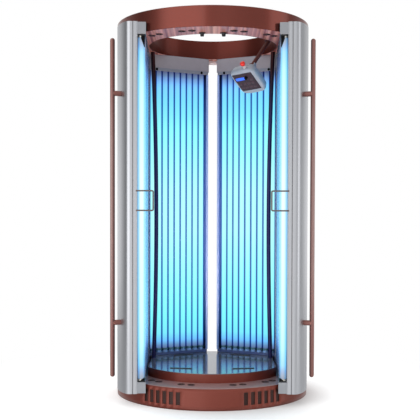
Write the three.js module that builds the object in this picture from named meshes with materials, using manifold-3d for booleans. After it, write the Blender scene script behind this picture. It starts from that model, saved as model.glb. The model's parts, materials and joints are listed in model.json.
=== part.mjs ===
// Vertical tanning booth: a round base drum and an overhead ring, held apart by two fixed
// rear lamp panels and two bowed poles, with a hinged lamp door on each side.
// Millimetres, +Z up, the front towards -Y, the origin on the booth's axis at floor level.

import * as THREE from 'three';
import { mergeVertices } from 'three/addons/utils/BufferGeometryUtils.js';
import Module from 'manifold-3d';

const wasm = await Module();
wasm.setup();

// Whole booth
const BOOTH_RADIUS = 600;
const BOOTH_HEIGHT = 2300;
const SHEET = 3;
const SEAT_GAP = 0.3;
const CUT_OVERRUN = 1;
const FACET_DEG = 7.5;
const SMALL_FACET_DEG = 30;

// Base drum
const BASE_HEIGHT = 128;
const FLOOR_PLATE = 4;
const SLOTS_PER_SIDE = 6;
const SLOT_WIDTH = 25.5;
const SLOT_EDGE = 27;
const FIRST_SLOT_DEG = 19;
const SLOT_PITCH_DEG = 4.2;
const MESH_THICKNESS = 2;
const MESH_MARGIN = 6;
const MESH_HALF_ANGLE_DEG = 45;

// Round air vents in the ledge and in the soffit, in pairs
const VENT_RADIUS = 20;
const VENT_SETBACK = 98;
const VENT_PAIR_DEG = [17.5, 42.5];
const VENT_PAIR_SPREAD_DEG = 3.5;
const VENT_FACET_DEG = 45;

// Platform
const LEDGE_WIDTH = 164;
const PLATFORM_SIDE_GAP = 16;
const PLATFORM_HEIGHT = 183;
const GRATE_LENGTH = 138;
const GRATE_WIDTH = 18;
const GRATE_X = 190;
const FRONT_GRATE = { setback: 186, turnDeg: 8 };
const REAR_GRATE = { setback: 170, turnDeg: -18.7 };

// Fans and control box inside the drum
const FAN_HEADROOM = 2;
const FAN_DEPTH = 38;
const FAN_RIM = 5.5;
const FAN_BORE_SIDES = 24;
const FAN_HUB = 22;
const FAN_BLADES = 5;
const FAN_BLADE_TIP_GAP = 3;
const FAN_BLADE_WIDTH = 26;
const FAN_BLADE_SHEET = 2;
const FAN_BLADE_PITCH_DEG = 35;
const FAN_SPINDLE = 4;
const FAN_STRUT = 8;
const FAN_SETBACK = 55;
const FAN_ANGLE_DEG = 29.5;
const CONTROL_BOX = { width: 240, depth: 140, height: 100, y: 230, gland: 12, glandReach: 20 };

// Overhead ring
const RING_LIP = 12;
const RING_HEIGHT = 120;
const NOZZLE_X = 63;
const NOZZLE_SETBACK = 30;
const NOZZLE_BALL = 15;
const NOZZLE_SNOUT = 11;
const NOZZLE_BORE = 7;
const NOZZLE_DROP = 21;
const NOZZLE_MERIDIANS = 12;
const NOZZLE_PARALLELS = 8;
const NOZZLE_CLEARANCE = 0.5;

// Lamps
const LAMP_RADIUS = 19;
const SOCKET_RADIUS = 12;
const LAMP_FACET_DEG = 60;
const LAMP_BITE = 1;

// Rear lamp panels
const PANEL_TURN_DEG = 26.7;
const PANEL_STEP = 54;
const PANEL_WIDTH = 428;
const REAR_GAP = 70;
const REAR_LAMP_GAP = 6.5;
const REAR_LAMP_MARGIN = 8;
const REAR_LAMP_RECESS = 8;
const REAR_RAIL_RISE = 1;
const REAR_HEADROOM = 7.7;
const REAR_RAIL_HEIGHT = 17;
const REAR_SOCKET_HEIGHT = 26;
const REAR_TOP_RAIL_DEPTH = 44;
const REFLECTOR = 2;
const REFLECTOR_LIP_STEP = 3;
const CASING_CLEARANCE = 6;
const CASING_DEPTH = 80;
const COVER_HEIGHT = 106;
const COVER_STEP = 6;
const COVER_OVERHANG = 6;
const COVER_NOTCH = { width: 11, height: 17, shoulder: 5 };
const COVER_SHEET = 2;
const BALLAST = { depth: 36, height: 150, pitch: 230, rise: 292, headroom: 300, sideRoom: 64 };
const BALLAST_TRAY = 2;

// Side doors, in a frame whose origin is the hinge axis
const HINGE_SETBACK = 50;
const HINGE_Y = 140;
const DOOR_TOE_DEG = 2.3;
const BLOCK_DEPTH = 21;
const DOOR_INNER = 138;
const DOOR_OUTER = 37;
const DOOR_TAIL = 22;
const DOOR_CLEARANCE = 5;
const DOOR_SHEET = 2.5;
const TROUGH_ROOM = 11;
const POST_FACE = 66;
const POST_WALL = 3;
const POST_LAP = 54;
const BEVEL_RUN = 159;
const BAND_CLEARANCE = 5;
const SHELL_SETBACK = 3;
const BLOCK_LAP = 50;
const LOW_BLOCK_RISE = 9;
const HIGH_BLOCK_DROP = 13;
const SHIELD = 4;
const DOOR_LAMP_GAP = 4.5;
const FIRST_LAMP_GAP = 12;
const LAST_LAMP_GAP = 5;
const DOOR_RAIL_HEIGHT = 8;
const DOOR_SOCKET_HEIGHT = 8;
const PIN_RADIUS = 8;
const PIN_RUN = 0.3;
const PIN_FLANGE = 13;
const PIN_ENTRY = 26;
const PIN_ROOT = 20;
const PIVOT_BOSS = 14;
const PIN_FACET_DEG = 22.5;

// Handles
const BAR_RADIUS = 14;
const BAR_FOOT_GAP = 32;
const BAR_HEAD_GAP = 28;
const BAR_STANDOFF = 55;
const STANDOFF_RADIUS = 13;
const STANDOFF_INSET = 320;
const BAR_SIDES = 12;
const BAR_END_STEPS = 3;
const WIRE_RADIUS = 3.75;
const WIRE_LOW = 1143;
const WIRE_HIGH = 1257;
const WIRE_REACH = 97;
const WIRE_PROUD = 9;
const WIRE_INSET = 4.5;
const WIRE_BEND = 8;
const WIRE_STEPS = 30;
const WIRE_SIDES = 6;

// Bowed poles
const POLE_RADIUS = 11.5;
const POLE_Y = 150;
const POLE_FOOT_GAP = 13;
const POLE_HEAD_GAP = 19;
const POLE_BOW = 20;
const POLE_STEPS = 16;
const POLE_SIDES = 10;

// Control console: the origin of its frame is the middle of the keypad
const CONSOLE_HANG = [-133.6, -48.8, -258.5];
const CONSOLE_YAW_DEG = -31.9;
const CONSOLE_TILT_DEG = 54.1;
const CONSOLE_ROLL_DEG = 6.1;
const CONSOLE_LEFT = 81;
const CONSOLE_RIGHT = 93;
const CONSOLE_TOP = 99;
const CONSOLE_BOTTOM = 96;
const CONSOLE_CORNER = 26;
const CONSOLE_WALL = 3;
const FRONT_SHELL_DEPTH = 34;
const BACK_SHELL_DEPTH = 28;
const BACK_SHELL_TAPER = 0.82;
const KEYPAD_WIDTH = 146;
const KEYPAD_HEIGHT = 138;
const KEYPAD_SHEET = 1.6;
const KEYPAD_CORNER = 4;
const DISPLAY_CORNER = 2;
const DISPLAY = { width: 64, height: 22, x: -25, y: 29 };
const KNOB = { radius: 9, height: 14, chamfer: 2, shaft: 3, x: 22, y: 37 };
const STOP = { x: 44, z: -17, travel: 6, underTravel: 1, stem: 8 };
const STOP_COLLAR = { radius: 13, height: 14 };
const STOP_HEAD = { radius: 15.5, height: 18, chamfer: 2, crown: 9, belly: 8, shoulder: 14.5 };
const PIVOT_AT = [50, 54];
const PIVOT_EYE = 12;
const PIVOT_EYE_LENGTH = 32;
const PIVOT_PIN = 4;
const PIVOT_STANDOFF = 16;
const EAR = 6;
const ARM_RADIUS = 11;
const BRACKET = { angleDeg: -26.25, width: 38, plate: 5, lift: 8, height: 54, lug: 6, reach: 36 };
const SPIGOT_RADIUS = 6;
const SPIGOT_PROUD = 6;
const SPIGOT_SETBACK = 18;
const SPIGOT_BOSS = 13;
const SPIGOT_BOSS_HEIGHT = 14;

// Levels and places that follow from the sizes above
const HINGE_X = BOOTH_RADIUS - HINGE_SETBACK;
const PLATFORM_RADIUS = BOOTH_RADIUS - LEDGE_WIDTH;
const PLATFORM_HALF_WIDTH = HINGE_X - DOOR_INNER - PLATFORM_SIDE_GAP;
const RING_INNER_RADIUS = HINGE_X - DOOR_INNER - RING_LIP;
const VENT_CIRCLE_RADIUS = BOOTH_RADIUS - VENT_SETBACK;
const FAN_CIRCLE_RADIUS = BOOTH_RADIUS - FAN_SETBACK;
const NOZZLE_Y = -RING_INNER_RADIUS - NOZZLE_SETBACK;
const LEDGE_LOW = BASE_HEIGHT - SHEET;
const SLOT_HIGH = BASE_HEIGHT - SLOT_EDGE;
const FAN_SIZE = LEDGE_LOW - FLOOR_PLATE - FAN_HEADROOM;
const FAN_BORE = FAN_SIZE / 2 - FAN_RIM;
const PLATE_LOW = PLATFORM_HEIGHT - SHEET;
const RING_LOW = BOOTH_HEIGHT - RING_HEIGHT;
const SOFFIT_HIGH = RING_LOW + SHEET;
const LID_LOW = BOOTH_HEIGHT - SHEET;
const DOOR_LOW = BASE_HEIGHT + DOOR_CLEARANCE;
const DOOR_HIGH = RING_LOW - DOOR_CLEARANCE;
const LOW_BLOCK_TOP = DOOR_LOW + LOW_BLOCK_RISE;
const HIGH_BLOCK_BOTTOM = DOOR_HIGH - HIGH_BLOCK_DROP;
const TROUGH_WIDTH = 2 * LAMP_RADIUS + TROUGH_ROOM;
const BAR_LOW = DOOR_LOW + BAR_FOOT_GAP;
const BAR_HIGH = DOOR_HIGH - BAR_HEAD_GAP;
const POLE_FOOT_X = PLATFORM_HALF_WIDTH - POLE_FOOT_GAP;
const POLE_TOP_X = Math.sqrt((RING_INNER_RADIUS + POLE_HEAD_GAP) ** 2 - POLE_Y ** 2);
const PANEL_FRONT = PLATFORM_RADIUS - PANEL_STEP;
const CASING_FRONT = PLATFORM_RADIUS + CASING_CLEARANCE;
const PANEL_TURN = THREE.MathUtils.degToRad(PANEL_TURN_DEG);
const PANEL_INNER_END = (PANEL_FRONT * Math.sin(PANEL_TURN) - REAR_GAP / 2) / Math.cos(PANEL_TURN);
const PANEL_OUTER_END = PANEL_INNER_END - PANEL_WIDTH;
const PANEL_MIDDLE = (PANEL_INNER_END + PANEL_OUTER_END) / 2;
const FACET_FLAT = Math.cos(THREE.MathUtils.degToRad(FACET_DEG / 2));
const BRACKET_FACE = RING_INNER_RADIUS * FACET_FLAT - SEAT_GAP;
const SIDES = [{ name: 'left', sign: -1 }, { name: 'right', sign: 1 }];

// Finishes
const BROWN_PAINT = { color: 0x7e4238, roughness: 0.25, metalness: 0.3 };
const DARK_BROWN_PAINT = { color: 0x4a2620, roughness: 0.3, metalness: 0.3 };
const BARE_STEEL = { color: 0x8b8d91, roughness: 0.45, metalness: 0.8 };
const MIRROR_STEEL = { color: 0xb4b6bb, roughness: 0.08, metalness: 1 };
const SILVER_ALUMINIUM = { color: 0xb9babd, roughness: 0.3, metalness: 0.9 };
const GREY_PAINT = { color: 0x6c6a70, roughness: 0.4, metalness: 0.2 };
const LIGHT_GREY_PAINT = { color: 0xa3a4a9, roughness: 0.4, metalness: 0.1 };
const LAMP_GLASS = { color: 0xa8f4ff, roughness: 0.2, metalness: 0 };
const CLEAR_ACRYLIC = { color: 0xdfeef5, roughness: 0.05, metalness: 0, transparent: true, opacity: 0.25 };
const CONSOLE_PLASTIC = { color: 0x9b9da2, roughness: 0.4, metalness: 0.1 };
const KEYPAD_FILM = { color: 0x3d2f38, roughness: 0.35, metalness: 0 };
const DISPLAY_GLASS = { color: 0x3f6fe6, roughness: 0.1, metalness: 0 };
const BLACK_PLASTIC = { color: 0x131315, roughness: 0.4, metalness: 0 };
const RED_PLASTIC = { color: 0xd5281c, roughness: 0.3, metalness: 0 };
const WHITE_PLASTIC = { color: 0xe3e3e1, roughness: 0.4, metalness: 0 };

// Closed solids

function weld(geometry) {
  const bare = geometry.clone();
  bare.deleteAttribute('normal');
  bare.deleteAttribute('uv');
  const merged = mergeVertices(bare, 1e-3);
  const source = merged.index.array;
  const kept = [];
  for (let i = 0; i < source.length; i += 3) {
    const [a, b, c] = [source[i], source[i + 1], source[i + 2]];
    if (a !== b && b !== c && c !== a) kept.push(a, b, c);
  }
  merged.setIndex(kept);
  return merged;
}

function toSolid(geometry) {
  const welded = weld(geometry);
  return new wasm.Manifold(new wasm.Mesh({
    numProp: 3,
    vertProperties: Float32Array.from(welded.attributes.position.array),
    triVerts: Uint32Array.from(welded.index.array),
  }));
}

function toGeometry(solid) {
  const mesh = solid.getMesh();
  const geometry = new THREE.BufferGeometry();
  geometry.setAttribute('position', new THREE.Float32BufferAttribute(mesh.vertProperties, 3));
  geometry.setIndex(Array.from(mesh.triVerts));
  return geometry;
}

function join(first, ...others) {
  return toGeometry(others.reduce((solid, other) => solid.add(toSolid(other)), toSolid(first)));
}

function cut(body, ...tools) {
  return toGeometry(tools.reduce((solid, tool) => solid.subtract(toSolid(tool)), toSolid(body)));
}

function mirrorX(geometry) {
  const mirrored = weld(geometry).scale(-1, 1, 1);
  const source = mirrored.index.array;
  const flipped = [];
  for (let i = 0; i < source.length; i += 3) flipped.push(source[i], source[i + 2], source[i + 1]);
  mirrored.setIndex(flipped);
  return mirrored;
}

// Outlines and simple forms

const point = (x, y) => new THREE.Vector2(x, y);

function arc(radius, fromDeg, toDeg, centre = point(0, 0), facetDeg = FACET_DEG) {
  const steps = Math.max(1, Math.round(Math.abs(toDeg - fromDeg) / facetDeg));
  return Array.from({ length: steps + 1 }, (_, step) => {
    const angle = THREE.MathUtils.degToRad(THREE.MathUtils.lerp(fromDeg, toDeg, step / steps));
    return point(centre.x + radius * Math.cos(angle), centre.y + radius * Math.sin(angle));
  });
}

function circle(radius, centre = point(0, 0), facetDeg = FACET_DEG) {
  return arc(radius, 0, 360, centre, facetDeg).slice(0, -1);
}

function roundedRectangle(left, right, bottom, top, corner) {
  return [
    ...arc(corner, 180, 270, point(left + corner, bottom + corner), SMALL_FACET_DEG),
    ...arc(corner, 270, 360, point(right - corner, bottom + corner), SMALL_FACET_DEG),
    ...arc(corner, 0, 90, point(right - corner, top - corner), SMALL_FACET_DEG),
    ...arc(corner, 90, 180, point(left + corner, top - corner), SMALL_FACET_DEG),
  ];
}

// Moves each side of a closed outline inwards by the same distance
function inset(outline, distance) {
  const ccw = THREE.ShapeUtils.isClockWise(outline) ? [...outline].reverse() : outline;
  const sides = ccw.map((start, i) => {
    const along = ccw[(i + 1) % ccw.length].clone().sub(start).normalize();
    return { start: start.clone().add(point(-along.y, along.x).multiplyScalar(distance)), along };
  });
  return sides.map((side, i) => {
    const before = sides[(i + sides.length - 1) % sides.length];
    const between = side.start.clone().sub(before.start);
    const run = between.cross(side.along) / before.along.cross(side.along);
    return before.start.clone().addScaledVector(before.along, run);
  });
}

function prism(outline, low, high, holes = []) {
  const shape = new THREE.Shape(outline);
  shape.holes = holes.map((hole) => new THREE.Path(hole));
  return new THREE.ExtrudeGeometry(shape, { depth: high - low, bevelEnabled: false }).translate(0, 0, low);
}

function rod(radius, low, high, centre = point(0, 0), facetDeg = SMALL_FACET_DEG) {
  return prism(circle(radius, centre, facetDeg), low, high);
}

function block(low, high) {
  const size = high.map((value, i) => value - low[i]);
  return new THREE.BoxGeometry(...size).translate(...low.map((value, i) => value + size[i] / 2));
}

function bar(from, to, radius, sides = BAR_SIDES) {
  const along = to.clone().sub(from);
  const direction = along.clone().normalize();
  const turn = new THREE.Quaternion().setFromUnitVectors(new THREE.Vector3(0, 1, 0), direction);
  const middle = from.clone().add(to).multiplyScalar(0.5);
  return new THREE.CylinderGeometry(radius, radius, along.length(), sides)
    .applyQuaternion(turn)
    .translate(middle.x, middle.y, middle.z);
}

function turned(profile, facetDeg) {
  const points = profile.map(([radius, level]) => point(radius, level));
  return new THREE.LatheGeometry(points, Math.round(360 / facetDeg)).rotateX(Math.PI / 2);
}

function tube(path, radius, steps, sides) {
  const section = new THREE.Shape(circle(radius, point(0, 0), 360 / sides));
  return new THREE.ExtrudeGeometry(section, { steps, extrudePath: path, bevelEnabled: false });
}

function place(parent, name, geometry, finish) {
  const mesh = new THREE.Mesh(geometry, new THREE.MeshStandardMaterial(finish));
  mesh.name = name;
  parent.add(mesh);
}

const booth = new THREE.Group();

// Where a door's two hinge pins stand
const hingePoints = SIDES.map(({ sign }) => point(sign * HINGE_X, HINGE_Y));

// Where the round air vents lie, in plan
const ventPoints = SIDES.flatMap(({ sign }) => VENT_PAIR_DEG.flatMap((pairDeg) => [-1, 1].map((half) => {
  const angle = THREE.MathUtils.degToRad(pairDeg + half * VENT_PAIR_SPREAD_DEG);
  return point(sign * VENT_CIRCLE_RADIUS * Math.sin(angle), -VENT_CIRCLE_RADIUS * Math.cos(angle));
})));

const ventHoles = ventPoints.map((at) => circle(VENT_RADIUS, at, VENT_FACET_DEG));
const pinHoles = hingePoints.map((at) => circle(PIN_RADIUS + PIN_RUN, at, PIN_FACET_DEG));

// Base drum

function platformOutline(grow) {
  const radius = PLATFORM_RADIUS + grow;
  const cornerDeg = THREE.MathUtils.radToDeg(Math.acos((PLATFORM_HALF_WIDTH + grow) / radius));
  return [...arc(radius, cornerDeg, 180 - cornerDeg), ...arc(radius, 180 + cornerDeg, 360 - cornerDeg)];
}

function baseBand() {
  const wall = prism(circle(BOOTH_RADIUS), 0, LEDGE_LOW - SEAT_GAP, [circle(BOOTH_RADIUS - SHEET)]);
  const reach = 10 * SHEET;
  const slots = SIDES.flatMap(({ sign }) => Array.from({ length: SLOTS_PER_SIDE }, (_, i) => {
    const angleDeg = sign * (FIRST_SLOT_DEG + i * SLOT_PITCH_DEG);
    const low = [-SLOT_WIDTH / 2, -BOOTH_RADIUS - reach / 2, SLOT_EDGE];
    const high = [SLOT_WIDTH / 2, -BOOTH_RADIUS + reach / 2, SLOT_HIGH];
    return block(low, high).rotateZ(THREE.MathUtils.degToRad(angleDeg));
  }));
  return cut(wall, ...slots);
}

function ventMesh() {
  const outer = BOOTH_RADIUS - SHEET - SEAT_GAP;
  const from = 270 - MESH_HALF_ANGLE_DEG;
  const to = 270 + MESH_HALF_ANGLE_DEG;
  const outline = [...arc(outer, from, to), ...arc(outer - MESH_THICKNESS, to, from)];
  return prism(outline, SLOT_EDGE - MESH_MARGIN, SLOT_HIGH + MESH_MARGIN);
}

function platformPlate() {
  const rows = [{ ...FRONT_GRATE, end: -1 }, { ...REAR_GRATE, end: 1 }];
  const grates = SIDES.flatMap(({ sign }) => rows.map(({ setback, turnDeg, end }) => {
    const turn = THREE.MathUtils.degToRad(sign * turnDeg);
    const centre = point(sign * GRATE_X, end * (PLATFORM_RADIUS - setback));
    const corners = [[-1, -1], [1, -1], [1, 1], [-1, 1]];
    return corners.map(([i, j]) => point(centre.x + i * GRATE_LENGTH / 2, centre.y + j * GRATE_WIDTH / 2)
      .rotateAround(centre, turn));
  }));
  return prism(platformOutline(0), PLATE_LOW, PLATFORM_HEIGHT, grates);
}

function controlBox() {
  const { width, depth, height, y, gland, glandReach } = CONTROL_BOX;
  const low = [-width / 2, y - depth / 2, FLOOR_PLATE + SEAT_GAP];
  const high = [width / 2, y + depth / 2, FLOOR_PLATE + SEAT_GAP + height];
  const middle = new THREE.Vector3(0, y, low[2] + height / 2);
  const tip = new THREE.Vector3(0, low[1] - glandReach, middle.z);
  return join(block(low, high), bar(middle, tip, gland));
}

place(booth, 'base_floor', prism(circle(BOOTH_RADIUS - SHEET - SEAT_GAP), 0, FLOOR_PLATE), BARE_STEEL);
place(booth, 'base_band', baseBand(), BROWN_PAINT);
place(booth, 'vent_mesh', ventMesh(), DARK_BROWN_PAINT);
place(booth, 'base_ledge', prism(circle(BOOTH_RADIUS), LEDGE_LOW, BASE_HEIGHT,
  [platformOutline(SEAT_GAP), ...ventHoles, ...pinHoles]), BROWN_PAINT);
place(booth, 'platform_riser', prism(platformOutline(0), FLOOR_PLATE + SEAT_GAP, PLATE_LOW - SEAT_GAP,
  [platformOutline(-SHEET)]), BROWN_PAINT);
place(booth, 'platform_plate', platformPlate(), MIRROR_STEEL);
place(booth, 'control_box', controlBox(), LIGHT_GREY_PAINT);

// Fans behind the vent slots: the axis of each lies along its own frame's y

function fanFrame() {
  const half = FAN_SIZE / 2;
  const back = FAN_DEPTH / 2;
  const shell = cut(
    block([-half, -back, -half], [half, back, half]),
    bar(new THREE.Vector3(0, -FAN_DEPTH, 0), new THREE.Vector3(0, FAN_DEPTH, 0), FAN_BORE, FAN_BORE_SIDES),
  );
  const strutBack = back - FAN_STRUT;
  const strutReach = FAN_BORE + CUT_OVERRUN;
  const struts = [
    block([-strutReach, strutBack, -FAN_STRUT / 2], [strutReach, back, FAN_STRUT / 2]),
    block([-FAN_STRUT / 2, strutBack, -strutReach], [FAN_STRUT / 2, back, strutReach]),
  ];
  const spindleRoot = new THREE.Vector3(0, back - CUT_OVERRUN, 0);
  const spindle = bar(spindleRoot, new THREE.Vector3(0, -back / 2, 0), FAN_SPINDLE);
  return join(shell, ...struts, spindle);
}

function fanRotor() {
  const hubBack = FAN_DEPTH / 2 - FAN_STRUT - SEAT_GAP;
  const hubFront = -FAN_DEPTH / 2 + FAN_BLADE_SHEET;
  const hub = bar(new THREE.Vector3(0, hubFront, 0), new THREE.Vector3(0, hubBack, 0), FAN_HUB);
  const bladeLow = [0, -FAN_BLADE_SHEET / 2, -FAN_BLADE_WIDTH / 2];
  const bladeHigh = [FAN_BORE - FAN_BLADE_TIP_GAP, FAN_BLADE_SHEET / 2, FAN_BLADE_WIDTH / 2];
  const middle = (hubFront + hubBack) / 2;
  const blades = Array.from({ length: FAN_BLADES }, (_, i) => block(bladeLow, bladeHigh)
    .rotateX(THREE.MathUtils.degToRad(90 - FAN_BLADE_PITCH_DEG))
    .translate(0, middle, 0)
    .rotateY((i / FAN_BLADES) * 2 * Math.PI));
  const boreEnd = new THREE.Vector3(0, -FAN_DEPTH / 4 - SEAT_GAP, 0);
  const bore = bar(new THREE.Vector3(0, hubBack + CUT_OVERRUN, 0), boreEnd, FAN_SPINDLE + PIN_RUN);
  return cut(join(hub, ...blades), bore);
}

for (const { name, sign } of SIDES) {
  const fan = new THREE.Group();
  const angle = THREE.MathUtils.degToRad(sign * FAN_ANGLE_DEG);
  fan.position.set(FAN_CIRCLE_RADIUS * Math.sin(angle), -FAN_CIRCLE_RADIUS * Math.cos(angle),
    FLOOR_PLATE + SEAT_GAP + FAN_SIZE / 2);
  fan.rotation.z = angle;
  place(fan, `fan_frame_${name}`, fanFrame(), BLACK_PLASTIC);
  place(fan, `fan_rotor_${name}`, fanRotor(), BLACK_PLASTIC);
  booth.add(fan);
}

// Overhead ring

const nozzlePoints = SIDES.map(({ sign }) => point(sign * NOZZLE_X, NOZZLE_Y));

function ringSoffit() {
  const nozzleHoles = nozzlePoints.map((at) => circle(NOZZLE_BALL + NOZZLE_CLEARANCE, at, PIN_FACET_DEG));
  const inner = circle(RING_INNER_RADIUS + SHEET + SEAT_GAP);
  return prism(circle(BOOTH_RADIUS - SHEET - SEAT_GAP), RING_LOW, SOFFIT_HIGH,
    [inner, ...ventHoles, ...pinHoles, ...nozzleHoles]);
}

function nozzle() {
  const ball = new THREE.SphereGeometry(NOZZLE_BALL, NOZZLE_MERIDIANS, NOZZLE_PARALLELS).rotateX(Math.PI / 2);
  const snout = rod(NOZZLE_SNOUT, -NOZZLE_DROP, 0);
  const mouth = rod(NOZZLE_BORE, -NOZZLE_DROP - CUT_OVERRUN, -NOZZLE_DROP / 2);
  return cut(join(ball, snout), mouth);
}

place(booth, 'ring_band', prism(circle(BOOTH_RADIUS), RING_LOW, BOOTH_HEIGHT,
  [circle(BOOTH_RADIUS - SHEET)]), BROWN_PAINT);
place(booth, 'ring_inner_band', prism(circle(RING_INNER_RADIUS + SHEET), RING_LOW, BOOTH_HEIGHT,
  [circle(RING_INNER_RADIUS)]), BROWN_PAINT);
place(booth, 'ring_soffit', ringSoffit(), BROWN_PAINT);
place(booth, 'ring_lid', prism(circle(BOOTH_RADIUS - SHEET - SEAT_GAP), LID_LOW, BOOTH_HEIGHT,
  [circle(RING_INNER_RADIUS + SHEET + SEAT_GAP)]), BROWN_PAINT);

SIDES.forEach(({ name }, i) => {
  const holder = new THREE.Group();
  holder.position.set(nozzlePoints[i].x, nozzlePoints[i].y, (RING_LOW + SOFFIT_HIGH) / 2);
  place(holder, `nozzle_${name}`, nozzle(), BLACK_PLASTIC);
  booth.add(holder);
});

// Lamps with their two socket rails: the rails join the tubes of one bank

function lampBank(row, lowRail, highRail, levels) {
  const profile = [
    [0, levels.lowRailTop - LAMP_BITE],
    [SOCKET_RADIUS, levels.lowRailTop - LAMP_BITE],
    [SOCKET_RADIUS, levels.lampLow],
    [LAMP_RADIUS, levels.lampLow],
    [LAMP_RADIUS, levels.lampHigh],
    [SOCKET_RADIUS, levels.lampHigh],
    [SOCKET_RADIUS, levels.highRailBottom + LAMP_BITE],
    [0, levels.highRailBottom + LAMP_BITE],
  ];
  const lamps = row.map((at) => turned(profile, LAMP_FACET_DEG).translate(at.x, at.y, 0));
  return join(lowRail, highRail, ...lamps);
}

// Rear lamp panels, in a frame turned about the booth's axis: x along the panel, y to the back

function rearLampBank() {
  const lowRailBottom = PLATFORM_HEIGHT + REAR_RAIL_RISE;
  const lowRailTop = lowRailBottom + REAR_RAIL_HEIGHT;
  const lampLow = lowRailTop + REAR_SOCKET_HEIGHT;
  const highRailTop = RING_LOW - SEAT_GAP - COVER_SHEET - REAR_HEADROOM;
  const highRailBottom = highRailTop - REAR_RAIL_HEIGHT;
  const lampHigh = highRailBottom - REAR_SOCKET_HEIGHT;
  const back = CASING_FRONT - SEAT_GAP;
  const lowRail = block([PANEL_OUTER_END, PANEL_FRONT, lowRailBottom], [PANEL_INNER_END, back, lowRailTop]);
  const highRail = block([PANEL_OUTER_END, back - REAR_TOP_RAIL_DEPTH, highRailBottom],
    [PANEL_INNER_END, back, highRailTop]);
  const pitch = 2 * LAMP_RADIUS + REAR_LAMP_GAP;
  const lamps = 1 + Math.floor((PANEL_WIDTH - 2 * (LAMP_RADIUS + REAR_LAMP_MARGIN)) / pitch);
  const row = Array.from({ length: lamps }, (_, i) => point(
    PANEL_MIDDLE + (i - (lamps - 1) / 2) * pitch,
    PANEL_FRONT + REAR_LAMP_RECESS + LAMP_RADIUS,
  ));
  return {
    bank: lampBank(row, lowRail, highRail, { lowRailTop, lampLow, lampHigh, highRailBottom }),
    reflector: rearReflector(lowRailTop + SEAT_GAP, highRailBottom - SEAT_GAP, back),
  };
}

// Reflector: a sheet behind the lamps with a lip along each side
function rearReflector(low, high, back) {
  const sheet = block([PANEL_OUTER_END, back - REFLECTOR, low], [PANEL_INNER_END, back, high]);
  const lips = [PANEL_OUTER_END, PANEL_INNER_END - REFLECTOR].map((x) => block(
    [x, PANEL_FRONT + REFLECTOR_LIP_STEP, low],
    [x + REFLECTOR, back - REFLECTOR / 2, high],
  ));
  return join(sheet, ...lips);
}

function rearCasing() {
  const low = [PANEL_OUTER_END, CASING_FRONT, BASE_HEIGHT + SEAT_GAP];
  const high = [PANEL_INNER_END, CASING_FRONT + CASING_DEPTH, RING_LOW - SEAT_GAP];
  const hollow = block(
    [low[0] + SHEET, low[1] - CASING_DEPTH, low[2] + SHEET],
    [high[0] - SHEET, high[1] - SHEET, high[2] - SHEET],
  );
  return cut(block(low, high), hollow);
}

function rearCover() {
  const left = PANEL_OUTER_END - COVER_OVERHANG;
  const right = PANEL_INNER_END + COVER_OVERHANG;
  const top = RING_LOW - SEAT_GAP;
  const bottom = top - COVER_HEIGHT;
  const front = PANEL_FRONT - COVER_STEP;
  const face = prism([
    point(left, top),
    point(left, bottom + COVER_NOTCH.height),
    point(left + COVER_NOTCH.width, bottom + COVER_NOTCH.height - COVER_NOTCH.shoulder),
    point(left + COVER_NOTCH.width, bottom),
    point(right - COVER_NOTCH.width, bottom),
    point(right - COVER_NOTCH.width, bottom + COVER_NOTCH.height - COVER_NOTCH.shoulder),
    point(right, bottom + COVER_NOTCH.height),
    point(right, top),
  ], 0, COVER_SHEET).rotateX(Math.PI / 2).translate(0, front + COVER_SHEET, 0);
  const flange = block([left, front, top - COVER_SHEET], [right, CASING_FRONT - SEAT_GAP, top]);
  const ends = [left, right - COVER_SHEET].map((x) => block([x, front, bottom + COVER_NOTCH.height],
    [x + COVER_SHEET, CASING_FRONT - SEAT_GAP, top]));
  return join(face, flange, ...ends);
}

function ballastTray() {
  const back = CASING_FRONT + CASING_DEPTH - SHEET - SEAT_GAP;
  const { depth, height, pitch, rise, headroom, sideRoom } = BALLAST;
  const left = PANEL_OUTER_END + sideRoom;
  const right = PANEL_INNER_END - sideRoom;
  const low = BASE_HEIGHT + rise;
  const ballasts = Math.floor((RING_LOW - headroom - low) / pitch);
  const tray = block([left, back - BALLAST_TRAY, low], [right, back, low + ballasts * pitch]);
  const boxes = Array.from({ length: ballasts }, (_, i) => {
    const bottom = low + i * pitch + (pitch - height) / 2;
    return block([left, back - depth, bottom], [right, back - BALLAST_TRAY / 2, bottom + height]);
  });
  return join(tray, ...boxes);
}

for (const { name, sign } of SIDES) {
  const panel = new THREE.Group();
  panel.rotation.z = -sign * PANEL_TURN;
  const hand = sign < 0 ? (geometry) => geometry : mirrorX;
  const { bank, reflector } = rearLampBank();
  place(panel, `rear_lamp_bank_${name}`, hand(bank), LAMP_GLASS);
  place(panel, `rear_reflector_${name}`, hand(reflector), MIRROR_STEEL);
  place(panel, `rear_casing_${name}`, hand(rearCasing()), LIGHT_GREY_PAINT);
  place(panel, `rear_cover_${name}`, hand(rearCover()), GREY_PAINT);
  place(panel, `ballast_tray_${name}`, hand(ballastTray()), BARE_STEEL);
  booth.add(panel);
}

// Side doors: x towards the standing space, y to the back, the hinge axis at the origin

const doorToe = THREE.MathUtils.degToRad(DOOR_TOE_DEG);
const axisInDoor = point(HINGE_X, -HINGE_Y).rotateAround(point(0, 0), -doorToe);
const lapRadius = BOOTH_RADIUS + BAND_CLEARANCE;
const troughX = DOOR_INNER - TROUGH_WIDTH;
const bevelX = troughX - POST_FACE;

// The front stretch of a circle round the booth's axis, between two places across the door
function bandAt(radius, x) {
  return point(x, axisInDoor.y - Math.sqrt(radius ** 2 - (x - axisInDoor.x) ** 2));
}

function bandLevelWith(radius, y) {
  return point(axisInDoor.x - Math.sqrt(radius ** 2 - (y - axisInDoor.y) ** 2), y);
}

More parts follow.
